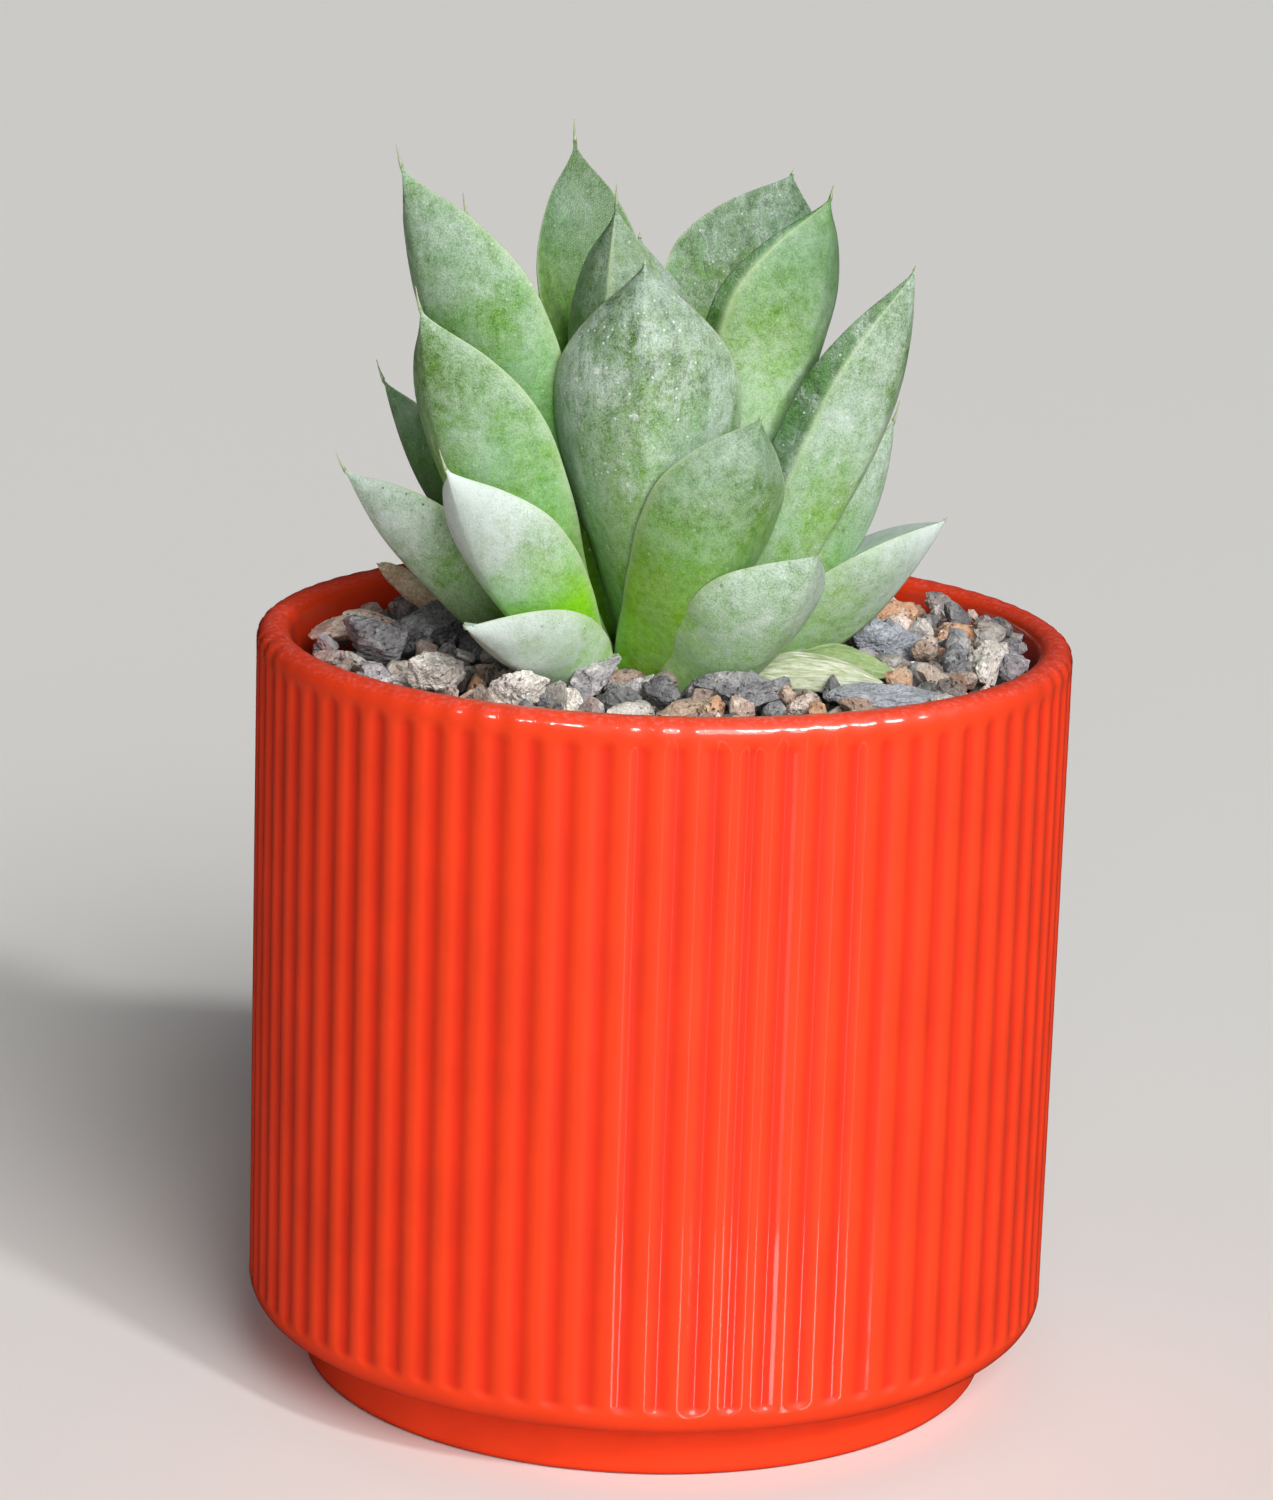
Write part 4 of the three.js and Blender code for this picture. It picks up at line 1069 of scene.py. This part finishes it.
def rock_material(name, dark, light, crust, crust_share, pores, toned=False):
    """Broken rock: two colours mixed by clouds some 3 mm wide, a pale crust on a share of it, grains
    under half a millimetre wide, pores that are deeper and carry painted shade, and a rough break."""
    rock, tree, shader = start_material(name)
    place = add_node(tree, "TexCoord", out="Object")
    clouds, flakes, grains = (
        add_node(tree, "TexNoise", {
            "Vector": place, "Scale": scale, "Detail": detail, "Roughness": rough
        })
        for scale, detail, rough in ((300, 6, 0.7), (330, 6, 0.68), (2400, 2, 0.7))
    )
    mixing = add_node(tree, "MapRange", (clouds, 0.38, 0.62))
    edge = 0.68 - 0.3 * crust_share
    crusted = add_node(tree, "MapRange", (flakes, edge, edge + 0.14))
    holes = add_node(tree, "TexVoronoi", {"Vector": place, "Scale": 900})
    # Painted shade: the pores are coloured near black for the shade that falls in them.
    pitted = add_node(tree, "MapRange", (holes, 0.1, 0.28, pores, 0))
    films = [(mixing, light), (crusted, crust), (pitted, PORE_SHADE)]
    value = add_node(tree, "MapRange", (grains, 0.3, 0.7, 0.8, 1.2))
    if toned:
        tone, stain = (
            add_node(tree, "Attribute", out="Fac", attribute_name=field)
            for field in ("tone", "stain")
        )
        shift = add_node(tree, "MapRange", (tone, 0, 1, 0.48, 1.28))
        value = combine(tree, "MULTIPLY", value, shift)
        spread = {"Vector": place, "Scale": 260, "Detail": 5, "Roughness": 0.7}
        reach = combine(tree, "ADD", add_node(tree, "TexNoise", spread), stain)
        films.append((add_node(tree, "MapRange", (reach, 1.2, 1.4, 0, 0.5)), IRON_STAIN))
    colour = lay_films(tree, linear(dark), films)
    height = clouds
    for part, share in ((pitted, -1.5), (flakes, 1.2), (grains, 0.25)):
        height = add_node(tree, "Math", (part, share, height), operation="MULTIPLY_ADD")
    feed(tree, shader, {
        "Base Color": add_node(tree, "HueSaturation", {"Color": colour, "Value": value}),
        "Roughness": 0.85,
        "IOR": 1.5,
        "Normal": add_node(tree, "Bump", {"Height": height, "Strength": 1, "Distance": 0.0008}),
    })
    return rock


ROCKS = {  # slot, words for it, dark, light, crust, share of crust, pores
    "basalt": ("dark_stone", "crushed basalt", "#6A696D", "#A2A1A2", "#D6CDC7", 0.4, 0.4),
    "slate": ("grey_stone", "split slate", "#969AA2", "#B6B9C0", "#D2D4D6", 0.2, 0.1),
    "splinter": ("tan_stone", "sandstone splinter", "#CDB48E", "#E8D9B6", "#F5EDD8", 0.4, 0.15),
    "grey": ("grey_stone", "crushed andesite", "#8F8992", "#C4BDBE", "#EEE6E1", 0.5, 0.4),
    "quartz": ("white_stone", "marble chip", "#CDC3B8", "#F2EBE2", "#FBF8F3", 0.5, 0.3),
    "tan": ("tan_stone", "tan pumice", "#BEA395", "#E6CEBE", "#F8EDE0", 0.5, 0.35),
    "orange": ("orange_stone", "orange lava rock", "#C28C64", "#EABB98", "#F8E8D4", 0.5, 0.5),
}
rocks = {rock: rock_material(words, *look) for rock, (_, words, *look) in ROCKS.items()}
for stone, node, rock in loose_pieces:
    add_piece(stone, rocks[rock], ROCKS[rock][0], node)
for heap, rock in grit_pieces:
    _, words, *look = ROCKS[rock]
    add_piece(heap, rock_material(words + " grit", *look, toned=True), "gravel", "gravel_bed")
# Painted shade: the fines are near black and stand for the shade deep in the gaps between the
# stones.
fines_in_shade = rock_material("near-black fines", "#1C1A1A", "#3A3634", "#6A655F", 0.3, 0.5)
add_piece(fines, fines_in_shade, "gravel", "gravel_bed")
print(len(rocks) + len(grit_pieces) + 1, "rock materials")

# %% [markdown]
# ## The withered leaves
#
# Two old leaves have dried and lie on the grit at the right. The water has gone, so they are thin
# shells, wrinkled lengthwise, straw-white in front and still green behind. Each is an arched strip,
# pointed at both ends, with ripples along it that are real relief.

# %% Withered leaf shapes
WITHERED = {
    "withered_leaf_front": dict(
        start=(9.5, -15, 98.6), end=(28, -20.5, 98.8), width=6.5, thick=1.6, rise=1.2, lean=32
    ),
    "withered_leaf_back": dict(
        start=(14.5, -10, 98.9), end=(29.5, -17, 99.5), width=6, thick=1.4, rise=1.5, lean=22
    ),
}
WITHERED_LENGTH = 20
withered_pieces = []
for number, (node, row) in enumerate(WITHERED.items()):
    random = np.random.default_rng(500 + number)
    start, end = np.array(row["start"], float), np.array(row["end"], float)
    axis, lean = unit(end - start), np.radians(row["lean"])
    level = unit(np.cross(UP, axis))
    side = level * np.cos(lean) + np.cross(axis, level) * np.sin(lean)
    face = np.cross(axis, side)
    s = np.linspace(0, 1, 70)[:, None]
    angle = np.arange(72)[None, :] * TURN / 72
    across = np.cos(angle)
    # Half a sine makes the strip's outline; wide and fine ridges run along it, and a curl across.
    swell = np.sin(np.pi * (0.03 + 0.94 * s)) ** 0.75
    ridges = 0.2 * np.sin(7 * across + 1.2 * np.sin(5 * s))
    ridges = ridges + 0.1 * np.sin(19 * across + 2 * np.sin(7 * s + 1) + random.uniform(0, 6))
    curl = 0.3 * np.sin(4 * s + 2.5 * across + random.uniform(0, 6))
    x = across * row["width"] / 2 * swell * (1 + 0.05 * np.sin(13 * s + random.uniform(0, 6)))
    z = np.sin(angle) * row["thick"] / 2 * (0.35 + 0.65 * swell)
    z = z - 0.5 * row["rise"] * across**2 * swell + (ridges + curl) * swell
    middle = start + (end - start) * s + UP * row["rise"] * np.sin(np.pi * s)
    points = middle[:, None] + x[..., None] * side + z[..., None] * face
    shell = make_mesh(node.replace("withered_leaf", "dry_leaf"), *closed_tube(points))
    width_place = across * row["width"] / 2 * np.ones(s.shape)
    length_place = s * WITHERED_LENGTH + 0 * angle
    paint(shell, across=with_poles(width_place), along=with_poles(length_place))
    withered_pieces.append((shell, node))
print(len(withered_pieces), "withered leaves, wrinkles 0.4 mm deep")

# %% Dried leaf skin
def dried_skin(name, pale, deep, stain):
    """Dry leaf: fibres lengthwise, under a millimetre apart, and faded patches. The patterns read
    the stored distances across and along the leaf, in millimetres."""
    material, tree, shader = start_material(name)
    place = add_node(tree, "CombineXYZ", [
        add_node(tree, "Attribute", out="Fac", attribute_name=field) for field in ("across", "along")
    ])
    stretched = add_node(tree, "VectorMath", (place, (1, 0.12, 1)), operation="MULTIPLY")
    noise = {"Vector": stretched, "Scale": 2.6, "Detail": 5, "Roughness": 0.65}
    fibres = add_node(tree, "TexNoise", noise)
    patches = add_node(tree, "TexNoise", {"Vector": place, "Scale": 0.9, "Detail": 4})
    films = [
        (add_node(tree, "MapRange", (fibres, 0.35, 0.65)), pale),
        (add_node(tree, "MapRange", (patches, 0.55, 0.75, 0, 0.7)), stain),
    ]
    feed(tree, shader, {
        "Base Color": lay_films(tree, linear(deep), films),
        "Roughness": 0.6,
        "Normal": add_node(tree, "Bump", {"Height": fibres, "Strength": 0.6, "Distance": 0.0003}),
    })
    return material


straw = dried_skin("dry papery leaf, straw white", "#EAEBDE", "#8F9E5A", "#B4BC84")
faded = dried_skin("dry papery leaf, faded green", "#A8B98A", "#7C9A50", "#C7C493")
for (shell, node), material in zip(withered_pieces, (straw, faded)):
    add_piece(shell, material, "withered_leaf", node)
print("dry skins on", len(withered_pieces), "withered leaves")

# %% [markdown]
# ## What stays from the frame
#
# The stem and the potting mix are right as the CAD has them, hidden under leaves and grit, so they
# only get their materials: a corky, scarred skin, and dark bark with pumice crumbs.

# %% Stem and mix
cork = rock_material("corky succulent stem", "#6E6A45", "#8F8B62", "#B0A878", 0.3, 0.15)
mix = rock_material("bark and pumice potting mix", "#2C1E16", "#4A3524", "#B8A88C", 0.18, 0.5)
for node, material in (("stem", cork), ("potting_mix", mix)):
    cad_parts[node].data.materials.clear()
    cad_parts[node].data.materials.append(material)
print("frame pieces kept: stem, potting_mix")
